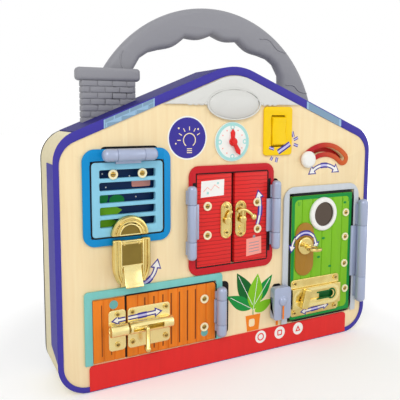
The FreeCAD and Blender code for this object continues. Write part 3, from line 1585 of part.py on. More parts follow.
def key():
    """Turning lock: rosette, key bow, barrel through the door and a cam behind it."""
    centre = at(dim.green_centre + dim.lock_offset, dim.cylinder_height, leaf_y)
    forward = Vector(0, -1, 0)
    seat = centre + forward * (dim.plate_thickness + dim.seat_gap)
    rosette = Part.makeCylinder(dim.cylinder_radius, dim.cylinder_rise, seat, forward)
    rim = [edge for edge in rosette.Edges if edge.BoundBox.YMax < seat.y - dim.cylinder_rise / 2]
    rosette = rosette.makeChamfer(dim.cylinder_rise * 0.4, rim)
    shank = Part.makeCylinder(
        dim.key_shank_radius, dim.cylinder_rise + dim.key_shank_length, seat, forward
    )
    bow_centre = seat + forward * (
        dim.cylinder_rise + dim.key_shank_length + dim.key_bow_radius - dim.key_bow_thickness / 2
    )
    up = Vector(0, 0, 1)
    bow = Part.makeCylinder(
        dim.key_bow_radius, dim.key_bow_thickness, bow_centre - up * (dim.key_bow_thickness / 2), up
    )
    rims = [edge for edge in bow.Edges if edge.BoundBox.ZLength < 1e-3]
    bow = bow.makeChamfer(dim.key_bow_thickness / 5, rims)
    bow = bow.cut(
        Part.makeCylinder(
            dim.key_bow_hole, 2 * dim.key_bow_thickness, bow_centre - up * dim.key_bow_thickness, up
        )
    )
    behind = dim.leaf_thickness + dim.seat_gap
    barrel = Part.makeCylinder(
        dim.cylinder_barrel, behind + dim.cam_thickness - seat.y + leaf_y,
        seat, Vector(0, 1, 0),
    )
    cam = Part.makeBox(
        dim.cam_width, dim.cam_thickness, dim.cam_length,
        centre + Vector(-dim.cam_width / 2, behind, 0),
    )
    return rosette.fuse([shank, bow, barrel, cam]).removeSplitter()


node(shape("key", key()), "key_knob")

# Slide bolt: plate with a raised guide, flat bar with its handle, keeper on the frame
SLIDE_LEFT = "(green_centre - green_width / 2 + green_gap)"
SLIDE_X = "(%s + slide_plate_width / 2 - slide_plate_edge)" % SLIDE_LEFT
slide_blank = plate(
    "slide_blank", SLIDE_X + " + slide_plate_edge", PLATE_Y, "slide_height", "slide_plate_width",
    "plate_thickness", "slide_plate_height", "frame_band / 2",
)
GUIDE_Y = "(%s - slide_channel_rise)" % PLATE_Y
guide = plate(
    "guide", SLIDE_X + " + slide_plate_edge", GUIDE_Y, "slide_height", "slide_plate_width",
    "slide_channel_rise", "slide_channel_height", "slide_channel_wall",
)
BAR_DEPTH = "(slide_channel_rise - slide_channel_wall)"
bar_room = block(
    "bar_room", SLIDE_X + " + slide_plate_edge", "%s - %s" % (PLATE_Y, BAR_DEPTH),
    "slide_height - slide_bar_height / 2 - slide_bar_gap", "slide_plate_width", BAR_DEPTH,
    "slide_bar_height + 2 * slide_bar_gap",
)
HANDLE_X = "(%s + slide_handle_place)" % SLIDE_LEFT
SLOT_START = "(%s - slide_throw - slide_stem_width / 2 - slide_channel_wall)" % HANDLE_X
SLOT_END = "(%s + slide_draw + slide_stem_width / 2 + slide_channel_wall)" % HANDLE_X
guide_slot = box(
    "guide_slot", SLOT_START, GUIDE_Y, "slide_height - slide_slot_height / 2",
    "%s - %s" % (SLOT_END, SLOT_START), "slide_channel_wall", "slide_slot_height",
)
slot_round = rod(
    "slot_round", "Y", "slide_slot_end", "slide_channel_wall",
    SLOT_END + " - slide_slot_end / 2", GUIDE_Y, "slide_height",
)
node(
    cut("slide_guide", fuse("slide_body", [slide_blank, guide]), [bar_room, guide_slot, slot_round]),
    "slide_plate",
)


def slide_bolt():
    """Flat bar in the guide with a leaning handle in front."""
    left = dim.green_centre - dim.green_width / 2 + dim.green_gap
    back = leaf_y - dim.plate_thickness - dim.slide_bar_gap
    depth = dim.slide_channel_rise - dim.slide_channel_wall - 2 * dim.slide_bar_gap
    bar = Part.makeBox(
        dim.slide_bar_length, depth, dim.slide_bar_height,
        Vector(left, back - depth, dim.slide_height - dim.slide_bar_height / 2),
    )
    tips = [edge for edge in bar.Edges if edge.BoundBox.XMax < left + 1e-3 and edge.BoundBox.YLength > 0.1]
    bar = bar.makeFillet(dim.slide_bar_height / 4, tips)
    handle_x = left + dim.slide_handle_place
    stem_height = dim.slide_slot_height - 2 * dim.slide_bar_gap
    front = leaf_y - dim.plate_thickness - dim.slide_channel_rise - dim.seat_gap
    stem = Part.makeBox(
        dim.slide_stem_width, back - depth / 2 - front, stem_height,
        Vector(handle_x - dim.slide_stem_width / 2, front, dim.slide_height - stem_height / 2),
    )
    grip = Part.makeBox(
        dim.slide_handle_width, dim.slide_handle_depth, dim.slide_handle_height,
        Vector(
            handle_x - dim.slide_handle_width / 2, front - dim.slide_handle_depth,
            dim.slide_height - dim.slide_handle_height / 2,
        ),
    )
    rims = [edge for edge in grip.Edges if edge.BoundBox.YMin < front - dim.slide_handle_depth / 2]
    grip = grip.makeFillet(dim.slide_handle_depth / 4, rims)
    grip.rotate(at(handle_x, dim.slide_height), Vector(0, 1, 0), dim.slide_handle_tilt)
    return bar.fuse([stem, grip]).removeSplitter()


node(shape("sliding", slide_bolt()), "slide_bolt")

KEEPER_X = "(%s - slide_plate_edge - green_gap - keeper_gap - keeper_width / 2)" % SLIDE_LEFT
KEEPER_FRONT = "(%s - keeper_rise)" % LEAF
keeper_blank = plate(
    "keeper_blank", KEEPER_X, KEEPER_FRONT, "slide_height", "keeper_width", "keeper_rise",
    "keeper_height", "frame_band / 2",
)
FRAME_EDGE = "(green_centre - green_width / 2 - frame_band)"
KEEPER_LEFT = "(%s - keeper_width / 2)" % KEEPER_X
keeper_foot = box(
    "keeper_foot", KEEPER_LEFT + " + frame_band / 2", KEEPER_FRONT + " + keeper_rise",
    "slide_height - keeper_height / 2 + frame_band / 2",
    "%s - %s - frame_band / 2 - seat_gap" % (FRAME_EDGE, KEEPER_LEFT),
    "frame_thickness", "keeper_height - frame_band",
)
keeper_room = block(
    "keeper_room", KEEPER_X, "%s - %s - seat_gap" % (PLATE_Y, BAR_DEPTH),
    "slide_height - slide_bar_height / 2 - knuckle_gap", "keeper_width",
    BAR_DEPTH + " + 2 * seat_gap", "slide_bar_height + 2 * knuckle_gap",
)
keeper_button = rod(
    "keeper_stud", "Y", "keeper_button", "strap_thickness", KEEPER_X,
    KEEPER_FRONT + " - strap_thickness / 2", "slide_height + frame_band / 2",
)
node(
    cut("keeper", fuse("keeper_body", [keeper_blank, keeper_foot, keeper_button]), [keeper_room]),
    "bolt_keeper",
)

# Gate with its post, hinge and round bolt
GATE_LEFT = "(gate_centre - gate_width / 2)"
POST_LEFT = "(%s - post_gap - post_width)" % GATE_LEFT
PANEL_LEFT = "(%s - frame_band)" % POST_LEFT
PANEL_RIGHT = "(gate_centre + gate_width / 2 + frame_band)"
gate_border = plate(
    "gate_border", "(%s + %s) / 2" % (PANEL_LEFT, PANEL_RIGHT), FRAME_Y,
    "gate_bottom + (gate_height + frame_band) / 2", "%s - %s" % (PANEL_RIGHT, PANEL_LEFT),
    "frame_thickness", "gate_height + frame_band", None,
)
gate_border_top = round_edges(
    gate_border, gate_border.Tip, "gate_border_corners", "frame_band / 2",
    lambda middle: middle.z > 0,
)
gate_cut = box(
    "gate_cut", POST_LEFT, FRAME_Y, "gate_bottom", "post_width + post_gap + gate_width",
    "frame_thickness", "gate_height",
)
node(cut("gate_edge", gate_border, [gate_cut]), "gate_panel")
post_blank = plate(
    "post_blank", POST_LEFT + " + post_width / 2", FRAME_Y, "gate_bottom + gate_height / 2",
    "post_width - 2 * seat_gap", "frame_thickness", "gate_height - 2 * gate_gap", None,
)
gate_low = dim.gate_bottom + dim.gate_gap
gate_high = dim.gate_bottom + dim.gate_height - dim.gate_gap
gate_left = dim.gate_centre - dim.gate_width / 2
post_grooves = planks(
    "post_planks", gate_left - dim.post_gap - dim.post_width, gate_left - dim.post_gap, gate_low,
    gate_high, dim.plank_pitch, leaf_y,
)
node(cut("post", post_blank, [post_grooves]), "gate_post")
gate_blank = plate(
    "gate_blank", "gate_centre", LEAF, "gate_bottom + gate_height / 2",
    "gate_width - 2 * gate_gap", "leaf_thickness", "gate_height - 2 * gate_gap", None,
)
gate_grooves = planks(
    "gate_planks", gate_left + dim.gate_gap, gate_left + dim.gate_width - dim.gate_gap, gate_low,
    gate_high, dim.plank_pitch, leaf_y,
)
node(cut("gate", gate_blank, [gate_grooves]), "orange_gate")
gate_fixed, gate_hinge_leaf = hinge(
    "yard", "Z", "(gate_centre + gate_width / 2 + gate_hinge_offset)", "gate_hinge_centre",
    "gate_hinge_length", "gate_barrel_radius", "door_hinge_rise", "gate_strap_reach", -1,
    "(gate_hinge_offset + gate_gap)", "(gate_hinge_offset + gate_gap - seat_gap)",
)
node(gate_fixed, "gate_hinge_fixed")
node(gate_hinge_leaf, "gate_hinge_leaf")

BOLT_LEFT = "(%s + gate_gap)" % GATE_LEFT
BOLT_Y = "(%s - bolt_tube_radius + strap_thickness / 2)" % PLATE_Y
BOLT_Z = "bolt_height"
bolt_blank = plate(
    "bolt_blank", BOLT_LEFT + " + bolt_plate_width / 2", PLATE_Y, "bolt_height - bolt_plate_drop",
    "bolt_plate_width", "plate_thickness", "bolt_plate_height", "frame_band / 2",
)
tube = rod("tube", "X", "bolt_tube_radius", "bolt_plate_width", BOLT_LEFT, BOLT_Y, BOLT_Z)
tube_back = box(
    "tube_back", BOLT_LEFT, PLATE_Y + " + plate_thickness", "bolt_height - bolt_plate_height",
    "bolt_plate_width", "bolt_tube_radius", "2 * bolt_plate_height",
)
tube_bore = rod(
    "tube_bore", "X", "bolt_rod_radius + running_gap", "bolt_plate_width", BOLT_LEFT, BOLT_Y, BOLT_Z
)
BOLT_KNOB = "(%s + bolt_handle_place)" % BOLT_LEFT
TUBE_SLOT = "(%s - bolt_throw - bolt_handle_width / 2 - seat_gap)" % BOLT_KNOB
tube_slot = box(
    "tube_slot", TUBE_SLOT, BOLT_Y + " - 2 * bolt_tube_radius",
    "bolt_height - bolt_handle_width / 2 - seat_gap",
    "bolt_throw + bolt_draw + bolt_handle_width + 2 * seat_gap", "2 * bolt_tube_radius",
    "bolt_handle_width + 2 * seat_gap",
)
node(
    cut("bolt_body", fuse("bolt_solid", [bolt_blank, tube]), [tube_bore, tube_slot, tube_back]),
    "barrel_body",
)


def barrel_bolt():
    """Round bolt whose handle stands out through the slot and hangs down in front."""
    left = dim.gate_centre - dim.gate_width / 2 + dim.gate_gap
    axis = Vector(
        left, leaf_y - dim.plate_thickness - dim.bolt_tube_radius + dim.strap_thickness / 2,
        dim.bolt_height,
    )
    bolt = Part.makeCylinder(dim.bolt_rod_radius, dim.bolt_rod_length, axis, Vector(1, 0, 0))
    ends = [edge for edge in bolt.Edges if edge.BoundBox.XLength < 1e-3]
    bolt = bolt.makeChamfer(dim.bolt_rod_radius / 4, ends)
    root = axis + Vector(dim.bolt_handle_place, 0, 0)
    reach = dim.bolt_tube_radius + dim.bolt_handle_width / 2 + dim.seat_gap
    arm = Part.makeCylinder(dim.bolt_handle_width / 2, reach, root, Vector(0, -1, 0))
    elbow = root + Vector(0, -reach, 0)
    joint = ball(elbow, dim.bolt_handle_width / 2)
    drop = Part.makeCylinder(
        dim.bolt_handle_width / 2, dim.bolt_handle_length, elbow, Vector(0, 0, -1)
    )
    end = ball(elbow - Vector(0, 0, dim.bolt_handle_length), dim.bolt_handle_width * 0.75)
    return bolt.fuse([arm, joint, drop, end]).removeSplitter()


node(shape("round_bolt", barrel_bolt()), "barrel_bolt")
BOLT_KEEPER_LEFT = "(%s - bolt_keeper_gap - bolt_keeper_width)" % BOLT_LEFT
barrel_blank = plate(
    "barrel_blank", BOLT_KEEPER_LEFT + " + bolt_keeper_width / 2", PLATE_Y,
    "bolt_height - bolt_plate_drop", "bolt_keeper_width", "plate_thickness", "bolt_plate_height",
    "frame_band / 2",
)
barrel_ring = rod(
    "barrel_ring", "X", "bolt_tube_radius", "bolt_keeper_width", BOLT_KEEPER_LEFT, BOLT_Y, BOLT_Z
)
barrel_back = box(
    "barrel_back", BOLT_KEEPER_LEFT, PLATE_Y + " + plate_thickness",
    "bolt_height - bolt_plate_height", "bolt_keeper_width", "bolt_tube_radius",
    "2 * bolt_plate_height",
)
barrel_bore = rod(
    "barrel_bore", "X", "bolt_rod_radius + 2 * seat_gap", "bolt_keeper_width", BOLT_KEEPER_LEFT, BOLT_Y,
    BOLT_Z,
)
node(
    cut(
        "barrel_loop", fuse("barrel_solid", [barrel_blank, barrel_ring]),
        [barrel_bore, barrel_back],
    ),
    "barrel_keeper",
)

# Plain strip along the bottom of the front
node(
    plate(
        "strip", "0", FACE + " - strip_thickness",
        "trim_side_border + seat_gap + strip_height / 2", "strip_width", "strip_thickness",
        "strip_height", "frame_band / 2",
    ),
    "base_strip",
)


def wires():
    """Two insulated wires from the battery box past the switch to the lamp."""
    runs = []
    y = dim.board_depth / 2 - dim.back_thickness - dim.wire_bend
    box_top = dim.battery_height + 2 * dim.cell_radius + dim.box_wall + dim.cell_gap * 2
    switch_back = face_y + dim.switch_box_depth
    for k in (0, 1):
        offset = (k - 0.5) * dim.wire_spacing
        start = Vector(offset, y, box_top)
        if k == 0:
            points = [
                start,
                Vector(offset, y, dim.switch_height),
                Vector(dim.lamp_centre - dim.led_spacing / 2, y, dim.lamp_bottom),
                Vector(
                    dim.lamp_centre - dim.led_spacing / 2,
                    face_y + dim.front_thickness + dim.circuit_thickness, dim.lamp_bottom,
                ),
            ]
        else:
            points = [
                start,
                Vector(offset + dim.wire_spacing, y, dim.switch_height - dim.rocker_height),
                Vector(dim.switch_centre, y, dim.switch_height),
                Vector(dim.switch_centre, switch_back, dim.switch_height),
            ]
        segments = []
        for begin, stop in zip(points, points[1:]):
            run = stop - begin
            segments.append(Part.makeCylinder(dim.wire_radius, run.Length, begin, run))
        for bend in points[1:-1]:
            segments.append(Part.makeSphere(dim.wire_radius, bend))
        runs.append(segments[0].fuse(segments[1:]).removeSplitter())
    return Part.makeCompound(runs)


node(shape("wiring", wires()), "wires")

doc.recompute()

for item in doc.Objects:
    if "Invalid" in item.State or "Error" in item.State:
        raise ValueError("Object in error: " + item.Label)
labels = [item.Label for item in nodes]
if len(set(labels)) != len(labels):
    raise ValueError("Two sub-parts share a label")
for item in nodes:
    if item.Shape.isNull() or not item.Shape.isValid() or not item.Shape.Solids:
        raise ValueError("Bad solid: " + item.Label)

os.makedirs("parts", exist_ok=True)
for item in nodes:
    item.Shape.exportStep("parts/%s.step" % item.Label)
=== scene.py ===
import json
import math

import bmesh
import bpy
from mathutils import Matrix, Vector

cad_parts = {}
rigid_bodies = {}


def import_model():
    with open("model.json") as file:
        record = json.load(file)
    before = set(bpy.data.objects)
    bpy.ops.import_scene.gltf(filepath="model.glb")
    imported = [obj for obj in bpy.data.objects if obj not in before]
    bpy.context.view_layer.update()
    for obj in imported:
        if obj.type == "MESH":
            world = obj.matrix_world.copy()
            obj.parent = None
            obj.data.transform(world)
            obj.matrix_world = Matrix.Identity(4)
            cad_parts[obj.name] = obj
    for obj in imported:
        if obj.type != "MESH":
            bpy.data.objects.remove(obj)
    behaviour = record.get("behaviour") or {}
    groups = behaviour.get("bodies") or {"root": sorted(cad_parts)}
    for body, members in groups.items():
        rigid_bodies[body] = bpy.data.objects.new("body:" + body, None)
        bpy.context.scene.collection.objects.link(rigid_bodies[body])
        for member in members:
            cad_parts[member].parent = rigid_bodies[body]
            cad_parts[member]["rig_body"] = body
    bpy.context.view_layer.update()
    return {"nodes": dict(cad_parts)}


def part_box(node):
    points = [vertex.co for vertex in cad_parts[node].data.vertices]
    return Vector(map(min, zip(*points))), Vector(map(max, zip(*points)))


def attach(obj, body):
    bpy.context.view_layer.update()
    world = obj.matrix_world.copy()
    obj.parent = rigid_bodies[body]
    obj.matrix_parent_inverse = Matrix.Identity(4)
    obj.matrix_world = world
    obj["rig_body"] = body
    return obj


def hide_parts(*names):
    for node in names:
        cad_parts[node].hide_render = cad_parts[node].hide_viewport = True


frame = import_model()

bl_info = {
    "name": "Busy Board House",
    "version": (1, 0, 0),
    "blender": (4, 5, 0),
    "location": "3D View > Sidebar > Busy Board",
    "description": "Wooden activity board with doors, locks, a clock and a lamp",
    "category": "Object",
}

MM = 0.001
# Depths in millimetres of the surfaces that carry other pieces; the front is negative
BACKER, FACE, TRIM, LEAF = -22.5, -28.5, -29.3, -30.5
PLATE = LEAF - 1.2
FLANGE = LEAF - 2
ROOF_SLOPE, ROOF_RIDGE = 71 / 175, 294.0
CLOCK = (-3.5, 218.5)


def tint(red, green, blue):
    """Linear colour from the 0 to 255 values of a paint chart."""
    return tuple(
        (value / 255 + 0.055) ** 2.4 / 1.055**2.4 if value > 10 else value / 255 / 12.92
        for value in (red, green, blue)
    )


def paint(name, description, *chart):
    """Colour setting with its default from the paint chart."""
    return bpy.props.FloatVectorProperty(
        name=name, description=description, subtype="COLOR", size=3, min=0, max=1,
        default=tint(*chart),
    )


def length(name, description, millimetres):
    return bpy.props.FloatProperty(
        name=name, description=description, unit="LENGTH", subtype="DISTANCE", min=0,
        default=millimetres * MM,
    )


class BoardSizes(bpy.types.PropertyGroup):
    """Small sizes of the finish, in metres."""

    print_thickness: length("Print", "Thickness of one layer of ink", 0.03)
    cap_radius: length("Cap radius", "Radius of a rivet cap", 4.3)
    cap_height: length("Cap height", "Height of a rivet cap", 1.5)
    screw_radius: length("Screw radius", "Radius of a small brass screw", 2.6)
    seam_radius: length("Seam", "Radius of the raised seams on the handle", 0.7)


class BoardColours(bpy.types.PropertyGroup):
    """Paints, plastics and metals."""

    birch: paint("Birch", "Lacquered front board", 247, 227, 184)
    birch_dark: paint("Birch grain", "Grain of the front board", 240, 214, 166)
    cream: paint("Cream", "Walls of the case", 236, 224, 184)
    charcoal: paint("Charcoal", "Back board", 92, 88, 80)
    indigo: paint("Indigo", "Edge trim", 66, 58, 160)
    slate: paint("Slate", "Patches on the roof border", 128, 158, 182)
    grey: paint("Grey", "Chimney and handle", 150, 150, 156)
    cloud: paint("Cloud", "Lamp panel", 222, 222, 218)
    sky: paint("Sky blue", "Window frame", 0, 142, 208)
    ice: paint("Ice blue", "Shutter", 140, 206, 232)
    navy: paint("Navy", "Night picture", 6, 46, 92)
    crimson: paint("Crimson", "Frame of the double doors", 202, 26, 38)
    red: paint("Red", "Double doors and strip", 228, 44, 42)
    zinc: paint("Zinc blue", "Hinges", 172, 182, 208)
    lime: paint("Lime", "Planks of the tall door", 128, 194, 32)
    leaf: paint("Leaf green", "Border of the tall door", 18, 142, 60)
    orange: paint("Orange", "Gate", 242, 132, 30)
    bark: paint("Bark", "Lines between planks", 120, 58, 18)
    teal: paint("Teal", "Panel behind the gate", 126, 202, 196)
    mist: paint("Mist", "Frame of the tall door", 205, 211, 217)
    brass: paint("Brass", "Polished brass", 252, 236, 160)
    brass_deep: paint("Deep brass", "Shaded brass", 200, 164, 84)
    toffee: paint("Toffee", "Lock plate", 172, 124, 40)
    yellow: paint("Yellow", "Switch", 250, 208, 12)
    white: paint("White", "Caps, dial and paper", 244, 243, 238)
    ivory: paint("Ivory", "Rivet caps", 250, 240, 200)
    aqua: paint("Aqua", "Ring of the dial", 168, 220, 216)
    # Ink is the black of the painted shade in gaps and beside hinges, and of the painted screw
    # slots
    ink: paint("Ink", "Dark outlines", 18, 17, 20)
    violet: paint("Violet", "Outline of the arrows", 60, 52, 150)
    blush: paint("Blush", "Note", 246, 162, 148)


# Shared effects and materials


def feed(tree, node, inputs):
    """Gives each input of a node its value, or a link from its socket."""
    for key, value in inputs.items():
        if isinstance(value, bpy.types.NodeSocket):
            tree.links.new(value, node.inputs[key])
        else:
            node.inputs[key].default_value = value
    return node


def add_node(tree, kind, inputs=None, **settings):
    node = tree.nodes.new("ShaderNode" + kind)
    for key, value in settings.items():
        setattr(node, key, value)
    return feed(tree, node, inputs or {})


def maths(tree, operation, first, second, clamp=False):
    """Result of a maths node between two sockets or numbers."""
    inputs = {0: first, 1: second}
    return add_node(tree, "Math", inputs, operation=operation, use_clamp=clamp).outputs[0]


def blend_colour(tree, factor, first, second):
    """Mix of two colours by a factor."""
    inputs = {"Factor": factor, 6: first, 7: second}
    return add_node(tree, "Mix", inputs, data_type="RGBA").outputs[2]


def object_place(tree):
    return add_node(tree, "TexCoord").outputs["Object"]


def add_group(name, inputs, outputs):
    """Node group with named sockets; returns its tree, what it is given and its end node."""
    tree = bpy.data.node_groups.new(name, "ShaderNodeTree")
    for label, value in inputs.items():
        kind = {4: "Color", 3: "Vector", 1: "Float"}[len(value) if isinstance(value, tuple) else 1]
        socket = tree.interface.new_socket(label, in_out="INPUT", socket_type="NodeSocket" + kind)
        socket.default_value = value
    for label in outputs:
        kind = "NodeSocketColor" if label == "Colour" else "NodeSocketFloat"
        tree.interface.new_socket(label, in_out="OUTPUT", socket_type=kind)
    return tree, tree.nodes.new("NodeGroupInput").outputs, tree.nodes.new("NodeGroupOutput")


def make_groups():
    """Grain for wood, paint, plastic and metal, and fine lines between planks."""
    tree, given, end = add_group(
        "Surface Grain",
        {
            "Light": (1, 1, 1, 1), "Dark": (0, 0, 0, 1), "Stretch": (100, 100, 100),
            "Contrast": 1.0, "Smooth": 0.3, "Rough": 0.5,
        },
        ("Colour", "Roughness", "Height"),
    )
    place = add_node(tree, "Mapping", {"Vector": object_place(tree), "Scale": given["Stretch"]})
    noise = {"Vector": place.outputs[0], "Scale": 1, "Detail": 6, "Distortion": 0.5}
    grain = add_node(tree, "TexNoise", noise).outputs["Fac"]
    centred = maths(tree, "SUBTRACT", grain, 0.5)
    stretched = maths(tree, "MULTIPLY", centred, given["Contrast"])
    factor = maths(tree, "ADD", stretched, 0.5, True)
    span = maths(tree, "SUBTRACT", given["Rough"], given["Smooth"])
    spread = maths(tree, "MULTIPLY", span, grain)
    feed(tree, end, {
        "Colour": blend_colour(tree, factor, given["Light"], given["Dark"]),
        "Roughness": maths(tree, "ADD", given["Smooth"], spread), "Height": grain,
    })

    tree, given, end = add_group(
        "Fine Lines",
        {
            "Colour": (1, 1, 1, 1), "Line": (0, 0, 0, 1), "Direction": (0, 0, 300), "Waver": 0.4,
        },
        ("Colour", "Height"),
    )
    place = object_place(tree)
    along = {0: place, 1: given["Direction"]}
    along = add_node(tree, "VectorMath", along, operation="DOT_PRODUCT").outputs["Value"]
    noise = add_node(tree, "TexNoise", {"Vector": place, "Scale": 45, "Detail": 3})
    waver = maths(tree, "MULTIPLY", noise.outputs["Fac"], given["Waver"])
    turns = maths(tree, "MULTIPLY", maths(tree, "ADD", along, waver), 2 * math.pi)
    wave = maths(tree, "SINE", turns, 0)
    raised = maths(tree, "MULTIPLY", maths(tree, "SUBTRACT", wave, 0.55), 3, True)
    line = maths(tree, "MULTIPLY", raised, 0.75)
    feed(tree, end, {
        "Colour": blend_colour(tree, line, given["Colour"], given["Line"]),
        "Height": maths(tree, "SUBTRACT", 1, raised),
    })


def shade(colour, factor):
    return tuple(min(1.0, value * factor) for value in colour)


def make_material(
    name, light, dark=0.93, smooth=0.35, rough=0.5, stretch=(350, 350, 350), contrast=0.6,
    metal=0.0, coat=0.0, shine=0.2, see_through=0.0, bump=0.0, lines=None,
):
    """Material with the shared grain; its dark colour may be a share of the light one."""
    material = bpy.data.materials.new(name)
    material.use_nodes = True
    tree = material.node_tree
    dark = shade(light, dark) if isinstance(dark, float) else dark
    groups = bpy.data.node_groups
    values = {
        "Light": (*light, 1), "Dark": (*dark, 1), "Stretch": stretch, "Contrast": contrast,
        "Smooth": smooth, "Rough": rough,
    }
    grain = add_node(tree, "Group", node_tree=groups["Surface Grain"])
    made = feed(tree, grain, values).outputs
    if lines is not None:
        fine = add_node(tree, "Group", node_tree=groups["Fine Lines"])
        made = feed(tree, fine, {"Colour": made["Colour"], **lines}).outputs
    looks = {
        "Base Color": made["Colour"], "Roughness": grain.outputs["Roughness"], "Metallic": metal,
        "Coat Weight": coat, "Coat Roughness": 0.2, "Specular IOR Level": shine,
        "Transmission Weight": see_through,
    }
    if bump:
        relief = {"Strength": 0.4, "Distance": bump * MM, "Height": made["Height"]}
        looks["Normal"] = add_node(tree, "Bump", relief).outputs["Normal"]
    feed(tree, tree.nodes["Principled BSDF"], looks)
    return tree


def make_band_material(first, second):
    """Paint that runs from one colour to the other along the slider's band."""
    tree = make_material("Slider Band", first)
    across = add_node(tree, "SeparateXYZ", {0: object_place(tree)}).outputs["X"]
    run = {"Value": across, "From Min": 100 * MM, "From Max": 140 * MM}
    share = add_node(tree, "MapRange", run).outputs[0]
    mixed = blend_colour(tree, share, (*first, 1), (*second, 1))
    feed(tree, tree.nodes["Principled BSDF"], {"Base Color": mixed})


# Modelling helpers; lengths are in millimetres


def clear_selection():
    if bpy.context.object and bpy.context.object.mode != "OBJECT":
        bpy.ops.object.mode_set(mode="OBJECT")
    bpy.ops.object.select_all(action="DESELECT")


def activate(piece):
    clear_selection()
    piece.select_set(True)
    bpy.context.view_layer.objects.active = piece


def apply_place():
    bpy.ops.object.transform_apply(location=True, rotation=True, scale=True)
    return bpy.context.object


def apply_modifier(piece, kind, **settings):
    """Adds a modifier with its settings and applies it."""
    activate(piece)
    modifier = piece.modifiers.new(kind.title(), kind)
    for key, value in settings.items():
        setattr(modifier, key, value)
    bpy.ops.object.modifier_apply(modifier=modifier.name)


def round_edges(piece, width, segments=2, angle=35):
    if width:
        apply_modifier(
            piece, "BEVEL", width=width * MM, segments=segments, limit_method="ANGLE",
            angle_limit=math.radians(angle), use_clamp_overlap=False, miter_outer="MITER_ARC",
        )
    return piece


def join(pieces):
    """Joins pieces into the first and returns it."""
    activate(pieces[0])
    for piece in pieces[1:]:
        piece.select_set(True)
    if len(pieces) > 1:
        bpy.ops.object.join()
    return bpy.context.object


def coat(piece, material):
    piece.data.materials.clear()
    piece.data.materials.append(bpy.data.materials[material])
    return piece


def settle(piece, name, body, nodes=(), material=None, smooth=35):
    """Names a finished piece, bakes its place into its mesh and gives it its body."""
    activate(piece)
    apply_place()
    piece.name = name
    piece.data.name = name
    if material is not None:
        coat(piece, material)
    bpy.ops.object.shade_smooth_by_angle(angle=math.radians(smooth))
    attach(piece, body)
    if nodes:
        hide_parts(*nodes)
    return piece


def body_of(node):
    return frame["nodes"][node]["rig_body"]


def corners(box):
    """Low and high corner of a box, in millimetres."""
    return (corner / MM for corner in box)


def finish(piece, node, material, smooth=35):
    """Settles the finished form of a CAD piece in its place."""
    return settle(
        piece, node + "_finished", body_of(node), (node,), material, smooth
    )


def add_to(node, piece, name, material):
    """Settles a small piece on the body of a CAD piece and in its slot."""
    return settle(piece, name, body_of(node), (), material)


def dress(node, material, width=0.4, segments=2):
    """Finished copy of a CAD piece: merged, its flat faces joined, its edges rounded."""
    piece = frame["nodes"][node].copy()
    piece.data = piece.data.copy()
    for key in [key for key in piece.keys() if key.startswith("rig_")]:
        del piece[key]
    piece.parent = None
    bpy.context.scene.collection.objects.link(piece)
    mesh = bmesh.new()
    mesh.from_mesh(piece.data)
    bmesh.ops.remove_doubles(mesh, verts=mesh.verts, dist=0.002 * MM)
    bmesh.ops.dissolve_limit(
        mesh, angle_limit=math.radians(0.5), verts=mesh.verts, edges=mesh.edges
    )
    mesh.to_mesh(piece.data)
    mesh.free()
    finish(round_edges(piece, width, segments), node, material)


def dress_all(*rows):
    for row in rows:
        dress(*row)
    return {"FINISHED"}


def metres(*place):
    return tuple(value * MM for value in place)


def cylinder(x, y, z, radius, depth, along="Y", vertices=40):
    """Cylinder centred on a point."""
    clear_selection()
    turn = {"X": (0, math.pi / 2, 0), "Y": (math.pi / 2, 0, 0), "Z": (0, 0, 0)}[along]
    bpy.ops.mesh.primitive_cylinder_add(
        vertices=vertices, radius=radius * MM, depth=depth * MM, location=metres(x, y, z),
        rotation=turn,
    )
    return apply_place()


def slab(first, last):
    """Box between two opposite corners."""
    clear_selection()
    middle = [(a + b) / 2 for a, b in zip(first, last)]
    bpy.ops.mesh.primitive_cube_add(size=1, location=metres(*middle))
    bpy.context.object.scale = [abs(b - a) * MM for a, b in zip(first, last)]
    return apply_place()


def sphere(x, y, z, radius, segments=24, scale=(1, 1, 1)):
    clear_selection()
    bpy.ops.mesh.primitive_uv_sphere_add(
        segments=segments, ring_count=segments // 2, radius=radius * MM,
        location=metres(x, y, z), scale=scale,
    )
    return apply_place()


def pick(piece, kind, test):
    """Opens a piece in edit mode with the faces or edges selected that pass the test."""
    activate(piece)
    bpy.ops.object.mode_set(mode="EDIT")
    bpy.ops.mesh.select_mode(type=kind)
    bpy.ops.mesh.select_all(action="DESELECT")
    mesh = bmesh.from_edit_mesh(piece.data)
    for item in mesh.faces if kind == "FACE" else mesh.edges:
        if test(item):
            item.select_set(True)
    bmesh.update_edit_mesh(piece.data)


def leave_edit():
    bpy.ops.object.mode_set(mode="OBJECT")


def extrude(y, z):
    """Extrudes the selection in edit mode."""
    bpy.ops.mesh.extrude_region_move(TRANSFORM_OT_translate={"value": metres(0, y, z)})


def curve_mesh(name, paths, kind="POLY", closed=True, **settings):
    """Mesh of a curve through lists of points."""
    data = bpy.data.curves.new(name, "CURVE")
    for key, value in settings.items():
        setattr(data, key, value)
    for path in paths:
        spline = data.splines.new(kind)
        spline.points.add(len(path) - 1)
        for point, place in zip(spline.points, path):
            point.co = (*metres(*place), 1)
        if kind == "NURBS":
            spline.use_endpoint_u = not closed
            spline.order_u = 4
        spline.use_cyclic_u = closed
    piece = bpy.data.objects.new(name, data)
    bpy.context.scene.collection.objects.link(piece)
    activate(piece)
    bpy.ops.object.convert(target="MESH")
    return bpy.context.object


def tube(points, radius, kind="NURBS", closed=False, sides=3):
    """Round bar along points, as a closed mesh."""
    return curve_mesh(
        "tube", [points], kind, closed, dimensions="3D", bevel_depth=radius * MM,
        bevel_resolution=sides, use_fill_caps=True, resolution_u=6,
    )


